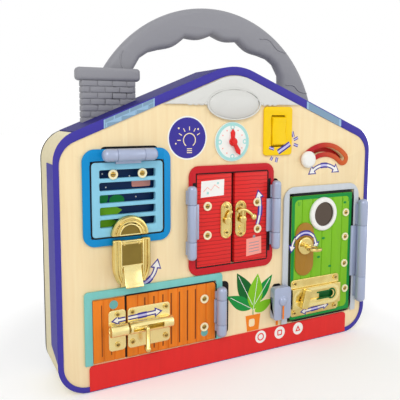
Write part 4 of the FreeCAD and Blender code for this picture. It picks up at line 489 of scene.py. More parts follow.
def flat_mesh(name, outlines, y, thickness, **settings):
    """Upright solid behind a depth; an outline inside another is a hole."""
    paths = [[(x, z, 0) for x, z in outline] for outline in outlines]
    settings = {"extrude": thickness / 2 * MM, **settings}
    piece = curve_mesh(name, paths, dimensions="2D", fill_mode="BOTH", **settings)
    mesh = bmesh.new()
    mesh.from_mesh(piece.data)
    bmesh.ops.remove_doubles(mesh, verts=mesh.verts, dist=0.001 * MM)
    bmesh.ops.recalc_face_normals(mesh, faces=mesh.faces)
    mesh.to_mesh(piece.data)
    mesh.free()
    upright = Matrix.Rotation(math.pi / 2, 4, "X")
    piece.data.transform(Matrix.Translation(metres(0, y - thickness / 2, 0)) @ upright)
    return piece


# Flat outlines, as lists of x and z


def polar(x, z, radius, degrees, tall=1.0):
    """Point round a centre."""
    turn = math.radians(degrees)
    return x + radius * math.cos(turn), z + radius * tall * math.sin(turn)


def disc(x, z, radius, points=36, tall=1.0):
    return [polar(x, z, radius, 360 * step / points, tall) for step in range(points)]


def arc_points(x, z, radius, first, last, steps=12):
    return [
        polar(x, z, radius, first + (last - first) * step / steps) for step in range(steps + 1)
    ]


def panel(left, low, right, high, corner=0.0):
    """Rectangle with rounded corners."""
    if not corner:
        return [(left, low), (right, low), (right, high), (left, high)]
    across, up = (right - corner, left + corner), (high - corner, low + corner)
    outline = []
    for quarter, (x, z) in enumerate(((0, 0), (1, 0), (1, 1), (0, 1))):
        outline += arc_points(across[x], up[z], corner, quarter * 90, quarter * 90 + 90, 6)
    return outline


def side_points(points, half):
    """Points to one side of a path, square to it."""
    found = []
    for index, (x, z) in enumerate(points):
        before = points[max(index - 1, 0)]
        after = points[min(index + 1, len(points) - 1)]
        along = Vector((after[0] - before[0], after[1] - before[1])).normalized()
        found.append((x - along.y * half, z + along.x * half))
    return found


def stroke(points, width):
    """Outline of a line of the given width."""
    return side_points(points, width / 2) + side_points(points, -width / 2)[::-1]


def arrow_head(path, size, grow):
    """Triangle beyond the end of a path."""
    base = Vector(path[-1])
    along = (base - Vector(path[-2])).normalized()
    tip = base + along * (size * 1.5 + 1.8 * grow)
    root, wide = base - along * grow, Vector((-along.y, along.x)) * (size + 1.4 * grow)
    return [tuple(root + wide), tuple(tip), tuple(root - wide)]


def each(ink, outlines):
    """One layer for each outline, so that they may cross."""
    return [(ink, [outline]) for outline in outlines]


def arrow(points, width, size, both=False):
    """Arrow along a path: dark rim, white body and a lilac middle."""
    paths = [points, points[::-1]] if both else [points]
    layers = []
    for ink, wider, grow in (("Violet Ink", 2.4, 1.25), ("White Ink", 0, 0)):
        heads = [arrow_head(path, size, grow) for path in paths]
        layers += each(ink, [stroke(points, width + wider)] + heads)
    third = len(points) // 3
    middle = points[third:len(points) - third]
    return layers + [
        ("Violet Ink", [stroke(middle, width + 3.4)]), ("Lilac Ink", [stroke(middle, width)])
    ]


def petal(x, z, reach, width, degrees, points=14):
    """Pointed leaf from its foot in a direction, up one side and down the other."""
    along = Vector(polar(0, 0, 1, degrees))
    across = Vector((-along.y, along.x))
    outline = []
    for step in (*range(points + 1), *range(1 - points, 0)):
        share = abs(step) / points
        swell = math.copysign(math.sin(math.pi * share**0.8) * width / 2, step)
        outline.append(tuple(Vector((x, z)) + along * reach * share + across * swell))
    return outline


def at_depth(y, outline):
    return [(x, y, z) for x, z in outline]


def roof_line(x, inset=0.0):
    """Height of the roof, or of a line inset from it."""
    return ROOF_RIDGE - ROOF_SLOPE * abs(x) - inset * math.hypot(1, ROOF_SLOPE)


def print_on(name, body, y, layers):
    """Print of several inks, each layer a little thicker than the one before."""
    thickness = bpy.context.scene.board_sizes.print_thickness / MM
    pieces = [
        coat(flat_mesh(name, outlines, y, step * thickness), ink)
        for step, (ink, outlines) in enumerate(layers, start=1)
    ]
    settle(join(pieces), name, body, smooth=20)


# Operators, one for each piece or group of like pieces


class BOARD_OT_materials(bpy.types.Operator):
    """Mixes the paints, plastics, metals and inks"""

    bl_idname = "board.materials"
    bl_label = "Materials"

    def execute(self, context):
        make_groups()
        c = context.scene.board_colours
        planks = {"Line": (*shade(c.red, 0.5), 1), "Direction": (0, 0, 265), "Waver": 0.9}
        # Name, colour, its grain, least and most roughness, stretch and contrast of the grain
        for *row, looks in (
            ("Birch Board", c.birch, tuple(c.birch_dark), 0.4, 0.55, (260, 260, 16), 1.6,
             {"coat": 0.15, "bump": 0.03}),
            ("Cream Board", c.cream, 0.85, 0.45, 0.6, (30, 300, 300), 1.4, {"bump": 0.04}),
            ("Charcoal Board", c.charcoal, 0.93, 0.5, 0.7, {"bump": 0.03}),
            ("Indigo Film", c.indigo, 0.9, 0.5, 0.6, {}),
            # Darker copy of the trim's indigo: painted shade of the roof band's top faces
            ("Deep Indigo Film", shade(c.indigo, 0.5), 0.93, 0.6, 0.7, {"shine": 0.1}),
            ("Grey Plastic", c.grey, 0.93, 0.42, 0.56, {"bump": 0.01}),
            ("Cloud Plastic", c.cloud, 0.93, 0.25, 0.39, {"bump": 0.01}),
            ("Yellow Plastic", c.yellow, 0.93, 0.25, 0.39, {"bump": 0.01}),
            ("White Plastic", c.white, 0.93, 0.25, 0.39, {"bump": 0.01}),
            ("Clear Lens", shade(c.cloud, 1.08), 0.93, 0.2, 0.3, {"see_through": 0.12}),
            ("Red Planks", c.red, 0.9, 0.34, 0.46, (24, 180, 180), 1.2,
             {"coat": 0.05, "bump": 0.12, "lines": planks}),
            ("Orange Planks", c.orange, 0.72, 0.34, 0.46, (150, 150, 9), 1.9,
             {"coat": 0.05, "bump": 0.05}),
            ("Zinc Paint", c.zinc, 0.92, 0.25, 0.36, {"metal": 0.25, "coat": 0.3}),
            ("Polished Brass", c.brass, tuple(c.brass_deep), 0.14, 0.28, (60, 60, 60), 1.1,
             {"metal": 1.0}),
            # Shaded brass darker still: painted shade of the domes sunk in the caps and screws
            ("Deep Brass", c.brass_deep, 0.5, 0.2, 0.35, (50, 50, 50), 1.4, {"metal": 1.0}),
            # Darker copy of the brass: painted dark reflection in the latch's windows
            ("Olive Brass", tint(150, 128, 62), tint(118, 98, 44), 0.35, 0.5, (40, 40, 40), 1.2,
             {"metal": 0.8}),
            # Lighter copy of the brass: painted highlight on the latch's rims and tongue, and the
            # colour of the gate bolt and of the slide bolt's bezel
            ("Pale Brass", tint(252, 238, 176), tint(240, 218, 140), 0.2, 0.3, {"metal": 0.8}),
            # Mirror far darker than a real one: painted dark reflection
            ("Mirror", (0.13, 0.1, 0.08), 0.93, 0.03, 0.06, {"metal": 1.0}),
            ("Steel", (0.6, 0.6, 0.62), 0.93, 0.25, 0.4, {"metal": 1.0}),
            ("Ivory Cap", c.ivory, 0.93, 0.3, 0.4, {}),
            ("Red Hand", c.red, 0.93, 0.3, 0.4, {}),
            ("Circuit", (0.02, 0.2, 0.07), 0.93, 0.4, 0.5, {}),
            ("Wire", (0.55, 0.08, 0.06), 0.93, 0.3, 0.4, {}),
            ("Cell", (0.02, 0.1, 0.32), 0.93, 0.3, 0.4, {}),
            # Near-black backer: painted shade, so the gaps round the doors read as black
            ("Picture Board", (0.03, 0.03, 0.035), 0.93, 0.6, 0.8, {}),
        ):
            make_material(*row, **looks)
        for name, colour in (
            ("Sky Paint", c.sky), ("Ice Paint", c.ice), ("Crimson Paint", c.crimson),
            ("Red Strip", c.red), ("Teal Paint", c.teal), ("Mist Paint", c.mist),
            ("Lime Paint", c.lime), ("Toffee Plate", c.toffee),
        ):
            make_material(name, colour, 0.88, 0.34, 0.46, (180, 180, 24), 1.2, coat=0.05, bump=0.02)
        for name, colour in (
            ("Ink", c.ink), ("Violet Ink", c.violet), ("White Ink", c.white),
            ("Lilac Ink", (0.56, 0.54, 0.86)), ("Navy Ink", c.navy), ("Leaf Ink", c.leaf),
            ("Lime Ink", c.lime), ("Blush Ink", c.blush), ("Aqua Ink", c.aqua),
            ("Teal Ink", shade(c.teal, 0.7)), ("Bark Ink", c.bark), ("Slate Ink", c.slate),
            ("Pale Slate Ink", shade(c.slate, 1.45)), ("Orange Ink", c.orange),
            ("Sun Ink", c.yellow), ("Red Ink", c.red), ("Birch Ink", c.birch),
            # Pine Ink is the darkest leaf of the plant, and painted shade in the slide bolt's slot
            ("Grey Ink", c.grey), ("Sky Ink", c.sky), ("Pine Ink", shade(c.leaf, 0.45)),
        ):
            make_material(name, colour, 0.96, 0.4, 0.5)
        make_band_material(shade(c.crimson, 0.8), tint(205, 95, 40))
        return {"FINISHED"}


class BOARD_OT_case(bpy.types.Operator):
    """Walls, front board, back board, edge trim and strip"""

    bl_idname = "board.case"
    bl_label = "Case"

    def execute(self, context):
        dress_all(
            ("case_ring", "Cream Board", 0), ("front_panel", "Birch Board", 0.25),
            ("back_panel", "Charcoal Board", 0.8), ("edge_trim", "Indigo Film", 0.15),
        )
        half, foot, top, corner = 147.5, 0.9, 23.8, 4.0
        outline = [(-half, foot), (half, foot), (half, top - corner)]
        outline += arc_points(half - corner, top - corner, corner, 15, 90, 5)
        outline += arc_points(corner - half, top - corner, corner, 90, 180, 6)
        finish(flat_mesh("strip", [outline], FACE, 1.4), "base_strip", "Red Strip")
        depth, film, wall, wall_film = 50.4, 0.8, 174.2, 174.94
        roofs, walls = [], []
        for side in (-1, 1):
            runs = [(157, 0.05), (16, 0.05)]
            slanted = [(side * x, roof_line(x) + rise) for x, rise in runs]
            slanted += [(side * x, roof_line(x, film)) for x, rise in runs[::-1]]
            roofs.append(flat_mesh("roof_band", [slanted], 22.3, depth))
            walls.append(slab((side * wall, -28.4, 175), (side * wall_film, -3.6, 203)))
        # The roof band is painted darker as shade; the walls keep the trim's own indigo
        add_to("edge_trim", join(roofs), "roof_band", "Deep Indigo Film")
        add_to("edge_trim", join(walls), "wall_band", "Indigo Film")
        # The picture backer is near black as painted shade seen through the gaps round the doors
        for node, material in (
            ("picture_backer", "Picture Board"), ("wood_screws", "Steel"),
            ("lamp_board", "Circuit"), ("batteries", "Cell"), ("wires", "Wire"),
            ("battery_box", "Charcoal Board"), ("switch_body", "Charcoal Board"),
        ):
            coat(frame["nodes"][node], material)
        return dress_all(("battery_cover", "Charcoal Board", 0.4))


class BOARD_OT_roof(bpy.types.Operator):
    """Chimney, its cap and the carrying handle with its seams"""

    bl_idname = "board.roof"
    bl_label = "Chimney and handle"

    def grip(self, centre):
        """Arch with rounded edges and four finger lobes."""
        low, high = corners(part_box("handle"))
        outer, inner, lobe, soft = 135.0, 108.0, 4.0, 6.0
        first, sweep, steps, pitch = 123, 66, 32, 16.5
        foot = math.degrees(math.acos(high.x / outer))
        inside = [(-88.0, 257.0), (-86.6, 272.0), (-86.0, 287.0), (-79.0, 298.5), (-70.0, 304.5)]
        mirrored = [(-x, z) for x, z in inside[::-1]]
        for step in range(steps + 1):
            turn = first - step * sweep / steps
            swell = abs(math.sin(math.radians((turn - first + sweep) * 180 / pitch)))
            inside.append(polar(0, centre, inner - lobe * swell, turn))
        outline = arc_points(0, centre, outer, foot, 180 - foot, 72) + inside + mirrored
        piece = flat_mesh(
            "grip", [outline], high.y, high.y - low.y, bevel_depth=soft * MM, bevel_resolution=4,
            offset=-soft * MM, extrude=((high.y - low.y) / 2 - soft) * MM,
        )
        finish(piece, "handle", "Grey Plastic", 50)

    def execute(self, context):
        centre = 217.0
        dress("chimney", "Grey Plastic", 0.25)
        cap = round_edges(slab(*corners(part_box("chimney_cap"))), 3.4, 5)
        finish(cap, "chimney_cap", "Grey Plastic")
        self.grip(centre)
        radius, steps, bow = context.scene.board_sizes.seam_radius / MM, 8, 3
        seams = []
        for side, inner, outer, first, last in (
            (-1, 110, 131, 150, 138), (1, 110, 132, 33, 23), (1, 122, 132, 62, 46),
        ):
            shares = [step / steps for step in range(steps + 1)]
            points = [
                polar(
                    0, centre,
                    inner + (outer - inner) * share + bow * side * math.sin(2 * math.pi * share),
                    first + (last - first) * share,
                )
                for share in shares
            ]
            seams.append(tube(at_depth(15.1, points), radius))
        add_to("handle", join(seams), "handle_seams", "Grey Plastic")
        return {"FINISHED"}


class BOARD_OT_lamp(bpy.types.Operator):
    """Cloud-shaped lamp panel and its clear dome"""

    bl_idname = "board.lamp"
    bl_label = "Lamp"

    def execute(self, context):
        dress("lamp_panel", "Cloud Plastic", 0.9, 3)
        low, high = corners(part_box("lamp_lens"))
        middle, wide, tall = (low + high) / 2, (high.x - low.x) / 2, (high.z - low.z) / 2
        lens = sphere(middle.x, FACE, middle.z, 1, 48, (wide, FACE - low.y, tall))
        pick(lens, "FACE", lambda face: True)
        bpy.ops.mesh.bisect(
            plane_co=metres(0, FACE, 0), plane_no=(0, 1, 0), use_fill=True, clear_outer=True
        )
        leave_edit()
        finish(lens, "lamp_lens", "Clear Lens")
        around = disc(middle.x, middle.z, wide, 72, tall / wide)
        rim = tube(at_depth(-31.1, around), 0.7, "POLY", True)
        add_to("lamp_lens", rim, "lamp_lens_rim", "Cloud Plastic")
        swell = [
            (x - 2, 253.4 + 15.6 * math.cos(math.radians(x * 2.3)) ** 1.5)
            for x in range(-36, 37, 4)
        ]
        ridge = tube(at_depth(-31.0, swell), 0.5)
        add_to("lamp_panel", ridge, "lamp_panel_ridge", "Cloud Plastic")
        return {"FINISHED"}


class BOARD_OT_frames(bpy.types.Operator):
    """Painted frames round the openings and the gate's panel and post"""

    bl_idname = "board.frames"
    bl_label = "Frames"

    def execute(self, context):
        return dress_all(
            ("window_frame", "Sky Paint", 0.5), ("red_frame", "Crimson Paint", 0.5),
            ("green_frame", "Mist Paint", 0.5), ("gate_panel", "Teal Paint", 0.5),
            ("gate_post", "Orange Planks", 0.5),
        )


class BOARD_OT_doors(bpy.types.Operator):
    """Shutter, double doors, tall door and gate"""

    bl_idname = "board.doors"
    bl_label = "Doors"

    def execute(self, context):
        return dress_all(
            ("shutter", "Ice Paint", 0.3), ("red_door_left", "Red Planks", 0.3),
            ("red_door_right", "Red Planks", 0.3), ("green_door", "Lime Paint", 0.3),
            ("orange_gate", "Orange Planks", 0.3),
        )


HINGES = (
    # Moving part, fixed part, run of the barrel, where it crosses and its depth, its radius,
    # its ends, the ends of its moving part, the tip of the flange
    ("shutter_hinge_leaf", "shutter_hinge_fixed", "X", 210.0, -36.8, 5.5, (-135.0, -85.0),
     (-122.2, -97.8), 202.0),
    ("red_hinge_leaf_left", "red_hinges_fixed", "Z", -49.75, -35.8, 4.5, (109.0, 179.0),
     (126.8, 161.2), -40.6),
    ("red_hinge_leaf_right", "red_hinges_fixed", "Z", 45.25, -35.8, 4.5, (109.0, 179.0),
     (126.8, 161.2), 36.2),
    ("green_hinge_leaf", "green_hinge_fixed", "Z", 161.5, -36.8, 5.5, (36.0, 152.0),
     (65.3, 122.7), 149.8),
    ("gate_hinge_leaf", "gate_hinge_fixed", "Z", -17.5, -36.3, 5.0, (29.0, 79.0),
     (41.8, 66.2), -23.2),
)


class BOARD_OT_hinges(bpy.types.Operator):
    """Hinges of three barrels with domed ends, their feet and flanges"""

    bl_idname = "board.hinges"
    bl_label = "Hinges"

    def barrel(self, run, across, depth, radius, low, high, domed=0):
        """Barrel between two ends, domed at the end given as -1 or 1, or at none."""
        middle, axis = (low + high) / 2, "XYZ".index(run)
        place = (middle, depth, across) if run == "X" else (across, depth, middle)
        piece = cylinder(*place, radius, high - low, run)
        for end, place in ((-1, low), (1, high)):
            pick(
                piece, "EDGE",
                lambda edge: all(abs(v.co[axis] - place * MM) < 0.01 * MM for v in edge.verts),
            )
            offset, segments = (radius * 0.8, 6) if end == domed else (0.35, 2)
            bpy.ops.mesh.bevel(
                offset=offset * MM, segments=segments, affect="EDGES", clamp_overlap=False
            )
            leave_edit()
        return piece

    def plate(self, run, ends, sides, front, back, soft):
        """Rounded plate with its ends along the barrel and its sides across it."""
        first, last = zip(ends, (front, back), sides)
        if run == "Z":
            first, last = first[::-1], last[::-1]
        return round_edges(slab(first, last), soft)

    def execute(self, context):
        fixed_parts = {}
        for leaf_node, fixed_node, run, across, depth, radius, ends, leaf, tip in HINGES:
            fixed = fixed_parts.setdefault(fixed_node, [])
            for domed, low, high in ((-1, ends[0], leaf[0] - 0.3), (1, leaf[1] + 0.3, ends[1])):
                fixed.append(self.barrel(run, across, depth, radius, low, high, domed))
                foot = (low + radius, high) if domed < 0 else (low, high - radius)
                for half, front in ((radius * 0.75, depth), (radius * 0.95, FLANGE)):
                    sides = (across - half, across + half)
                    fixed.append(self.plate(run, foot, sides, front, LEAF, 0.4))
            near = across + math.copysign(radius * 0.3, tip - across)
            inner = (leaf[0] + 0.4, leaf[1] - 0.4)
            moving = [
                self.barrel(run, across, depth, radius, *leaf),
                self.plate(run, inner, (near, tip), FLANGE, LEAF - 0.3, 0.5),
            ]
            finish(join(moving), leaf_node, "Zinc Paint")
        for node, pieces in fixed_parts.items():
            finish(join(pieces), node, "Zinc Paint")
        return {"FINISHED"}


class BOARD_OT_latch(bpy.types.Operator):
    """Toggle latch below the window"""

    bl_idname = "board.latch"
    bl_label = "Toggle latch"

    def tongue(self, x, front):
        """Plate that curves away from the lever's foot."""
        top, bend, step_degrees, width = 112.5, 31.0, 4.6, 16.5
        rows = []
        for step in range(9):
            ahead, drop = polar(0, 0, bend, step * step_degrees)
            rows.append((front + 0.6 - bend + ahead, top - drop * 0.95))
        bpy.ops.mesh.primitive_plane_add(
            size=1, location=metres(x, rows[0][0], top), rotation=(math.pi / 2, 0, 0)
        )
        piece = bpy.context.object
        piece.scale = (width * MM, 0.01 * MM, 1)
        apply_place()
        low_edge = min(v.co.z for v in piece.data.vertices)
        pick(piece, "EDGE", lambda edge: all(v.co.z < low_edge + 0.002 * MM for v in edge.verts))
        for before, after in zip(rows, rows[1:]):
            extrude(after[0] - before[0], after[1] - before[1])
        bpy.ops.mesh.select_all(action="SELECT")
        bpy.ops.mesh.normals_make_consistent(inside=False)
        leave_edit()
        apply_modifier(piece, "SOLIDIFY", thickness=1.8 * MM, offset=0.0)
        return round_edges(piece, 0.5, 2, 50)

    def lever(self, x):
        """Lever with two rounded rails, a panel between them and a curved tongue."""
        front, top, waist, foot = -39.3, 136.4, 114.0, 97.0

        def rail(side, reach, taper, end):
            """Run down one side, drawn in towards the foot."""
            points = [(x + side * reach, top)]
            for share in (step / 6 for step in range(7)):
                inward = reach - taper * share**2
                points.append((x + side * inward, waist + (end - waist) * share))
            return points

        parts, rims = [], []
        for side in (-1, 1):
            outline = rail(side, 17.4, 5.0, foot) + rail(side, 9.4, 0.6, foot + 1)[::-1]
            parts.append(round_edges(flat_mesh("rail", [outline], front + 5.6, 5.2), 1.3, 4, 50))
            for reach, taper, size, end in ((15.6, 4.6, 1.4, foot + 2), (12.4, 2.6, 1.0, foot + 3)):
                points = [(x + side * reach, top - 1)] + rail(side, reach, taper, end)[1:]
                parts.append(tube(at_depth(front + 0.2, points), size, "POLY"))
            edge = x + side * 9.6
            rims.append(slab((edge, front - 0.3, 104), (edge + side, front + 2, top - 0.6)))
        parts.append(slab((x - 13.5, front + 1.4, 111), (x + 13.5, front + 2.4, top - 1)))
        parts.append(round_edges(cylinder(x, -36.1, 133, 2.4, 34, "X"), 0.6))
        for low, high in ((top - 1.8, top - 0.6), (112.6, 113.8)):
            rims.append(slab((x - 9.5, front - 0.2, low), (x + 9.5, front + 2, high)))
        for piece in rims:
            round_edges(piece, 0.3)
        # The lever's window is painted dark reflection
        window = slab((x - 9.0, front + 1.0, 113.5), (x + 9.0, front + 1.5, top - 1.5))
        finish(join(parts), "latch_lever", "Polished Brass")
        add_to("latch_lever", window, "latch_lever_window", "Olive Brass")
        # Rims and tongue in the pale brass: painted highlight
        add_to("latch_lever", join(rims), "latch_lever_rims", "Pale Brass")
        clear_selection()
        add_to("latch_lever", self.tongue(x, front), "latch_lever_tongue", "Pale Brass")

    def execute(self, context):
        dress("latch_base", "Polished Brass", 0.3)
        x, foot, rise = -110.0, 139.1, 4.6
        arch = arc_points(x, foot, 17.4, 0, 180, 36) + arc_points(x, foot, 9.4, 180, 0, 24)
        back = arc_points(x, foot, 10.0, 0, 180, 24)
        arcs = [
            round_edges(flat_mesh("catch", [arch], LEAF, rise), 1.3, 4, 50),
            flat_mesh("back", [back], LEAF, 3.4),
        ]
        for reach, size in ((15.6, 1.4), (12.4, 1.0)):
            points = at_depth(LEAF - rise, arc_points(x, foot, reach, 4, 176, 24))
            arcs.append(tube(points, size, "POLY"))
        finish(join(arcs), "latch_catch", "Polished Brass")
        # The catch's window is painted dark reflection
        opening = arc_points(x, foot + 0.6, 8.8, 0, 180, 30)
        window = flat_mesh("window", [opening], LEAF - 3.2, 0.5)
        add_to("latch_catch", window, "latch_catch_window", "Olive Brass")
        # The catch's rim is painted highlight in the pale brass
        edge = at_depth(LEAF - rise, arc_points(x, foot, 9.9, 3, 177, 24))
        sill = ((x - 9.5, LEAF - 4.0, foot), (x + 9.5, LEAF - 2, foot + 1))
        rim = join([tube(edge, 0.7, "POLY"), slab(*sill)])
        add_to("latch_catch", rim, "latch_catch_rim", "Pale Brass")
        self.lever(x)
        return {"FINISHED"}


class BOARD_OT_hook(bpy.types.Operator):
    """Door hook with its ball, the plates it turns and rests on"""

    bl_idname = "board.hook"
    bl_label = "Door hook"

    def execute(self, context):
        height, width = 143.0, 12.5
        for node, stud in (("catch_plate", -10.5), ("hook_plate", 6.0)):
            low, high = corners(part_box(node))
            left = low.x if stud < 0 else high.x - width
            right = left + width
            base = flat_mesh(node, [panel(left, low.z, right, high.z, 6.2)], LEAF, 1.2)
            rim = panel(left + 1, low.z + 1, right - 1, high.z - 1, 5.2)
            parts = [
                round_edges(base, 0.35, 2, 50), tube(at_depth(PLATE, rim), 0.55, "POLY", True),
                cylinder(stud, LEAF - 2.6, height, 1.5, 5),
            ]
            if stud < 0:
                y = LEAF - 3.6
                horn = [(0, height), (-0.4, 148), (2.2, 151), (4.6, 151.2)]
                parts.append(round_edges(cylinder(stud, y, height, 3.6, 3.2), 0.7, 3))
                parts.append(tube([(stud + x, y, z) for x, z in horn], 1.6))
            else:
                parts.append(round_edges(cylinder(stud, low.y + 0.6, height, 3.0, 1.2), 0.4))
                parts.append(cylinder(stud, LEAF - 1.6, 134, 2.6, 1.2))
            finish(join(parts), node, "Polished Brass")
        low, high = corners(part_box("door_hook"))
        y, radius, rise = (low.y + high.y) / 2, 1.6, 9.0
        stud, end, top = 6.0, high.x - 3.4, height + rise
        bar = [
            (low.x + radius * 0.6, top - 1.0), (2.5, top + 0.7), (7.5, top + 0.9),
            (12.0, top - 1.6), (15.5, top - 4.2), (end, height + 1.6),
        ]
        parts = [
            tube(at_depth(y, bar), radius, sides=5),
            sphere(end, low.y + 3.3, height + radius, 3.3),
            round_edges(cylinder(stud, y, height, 3.6, 3.2), 0.7, 3),
            cylinder(stud, y, height + rise / 2, radius, rise, "Z"),
            sphere(low.x + radius, y, top - 1.0, radius * 1.02, 16),
        ]
        finish(join(parts), "door_hook", "Polished Brass")
        return {"FINISHED"}


class BOARD_OT_tall_door_locks(bpy.types.Operator):
    """Porthole, key lock, slide bolt and its keeper"""

    bl_idname = "board.tall_door_locks"
    bl_label = "Tall door locks"

    def execute(self, context):
        low, high = corners(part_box("bolt_keeper"))
        button = sphere((low.x + high.x) / 2, low.y + 0.6, 53.5, 4.8, 28, (1, 0.5, 1))
        add_to("bolt_keeper", button, "keeper_button", "Zinc Paint")
        return dress_all(
            ("porthole_ring", "White Plastic", 0.3), ("porthole_mirror", "Mirror", 0),
            ("lock_plate", "Toffee Plate", 0.3), ("key_knob", "Polished Brass", 0.4, 3),
            ("slide_plate", "Polished Brass", 0.2), ("slide_bolt", "Polished Brass", 0),
            ("bolt_keeper", "Zinc Paint", 0.5, 3),
        )


class BOARD_OT_gate_bolt(bpy.types.Operator):
    """Round bolt of the gate, its guide and its keeper"""

    bl_idname = "board.gate_bolt"
    bl_label = "Gate bolt"

    def execute(self, context):
        return dress_all(
            ("barrel_body", "Pale Brass", 0.2), ("barrel_keeper", "Pale Brass", 0.4, 3),
            ("barrel_bolt", "Polished Brass", 0),
        )


class BOARD_OT_controls(bpy.types.Operator):
    """Clock, light switch and slider"""

    bl_idname = "board.controls"
    bl_label = "Clock, switch and slider"

    def execute(self, context):
        x, z = CLOCK
        pin = round_edges(cylinder(x, -34.0, z, 3.0, 1.6), 0.4)
        add_to("clock_dial", pin, "clock_pin_cap", "Red Hand")
        return dress_all(
            ("clock_dial", "White Plastic", 0.3), ("minute_hand", "Red Hand", 0.35),
            ("hour_hand", "Red Hand", 0.35), ("switch_plate", "Yellow Plastic", 0.8, 3),
            ("switch_rocker", "Yellow Plastic", 0.5, 3), ("arc_track", "Slider Band", 0.2),
            ("slider_knob", "White Plastic", 0.4, 3),
        )


class BOARD_OT_rivets(bpy.types.Operator):
    """Rivet caps on the doors and small screws on the brass plates"""

    bl_idname = "board.rivets"
    bl_label = "Rivets and screws"

    def ring(self, reach, rise, material):
        """Cap with a sunk middle, and a small dome in it; its slot is a black bar of painted shade.
        """
        cap = cylinder(0, -rise / 2, 0, reach, rise, "Y", 28)
        pick(cap, "FACE", lambda face: face.normal.y < -0.9)
        bpy.ops.mesh.inset(thickness=reach * 0.38 * MM)
        extrude(rise * 0.55, 0)
        leave_edit()
        round_edges(cap, rise * 0.22, 2, 50)
        # The dome's dark brass is painted shade in the sunk middle
        dome = sphere(0, -rise * 0.4, 0, reach * 0.55, 20, (1, 0.35, 1))
        # The slot is not cut: a black bar in the ink stands for its painted shade
        half = reach * 0.42
        slot_shade = slab((-half, -rise * 0.62 - 0.55, -0.25), (half, -rise * 0.5, 0.25))
        return join([coat(cap, material), coat(dome, "Deep Brass"), coat(slot_shade, "Ink")])

    def execute(self, context):
        sizes = context.scene.board_sizes
        height = sizes.cap_height / MM
        cap = self.ring(sizes.cap_radius / MM, height, "Ivory Cap")
        screw = self.ring(sizes.screw_radius / MM, height * 0.6, "Polished Brass")
        for source, word, y, rows in (
            (cap, "cap", LEAF, {
                "window_shutter": ((-124, 193), (-97, 193)),
                "left_door": ((-31, 158), (-31, 130)),
                "right_door": ((25, 158), (26, 131)),
                "tall_door": ((142, 138), (142, 111), (142, 81), (144, 52)),
                "yard_gate": ((-34, 68), (-34, 40)),
            }),
            (screw, "screw", PLATE, {
                "left_door": ((-10.5, 156), (-10.5, 131)),
                "right_door": ((6, 157), (5.4, 128.3)),
                "tall_door": ((74, 67), (129, 67), (129, 35), (74, 35)),
                "yard_gate": ((-108, 40), (-75, 40), (-108, 68), (-75, 68)),
                "board": ((-122, 40), (-122, 68)),
            }),
        ):
            for body, places in rows.items():
                for number, (x, z) in enumerate(places, start=1):
                    piece = source.copy()
                    piece.data = source.data.copy()
                    context.scene.collection.objects.link(piece)
                    piece.data.transform(Matrix.Translation(metres(x, y, z)))
                    settle(piece, "%s_%s_%d" % (word, body, number), body)
            bpy.data.objects.remove(source)
        return {"FINISHED"}


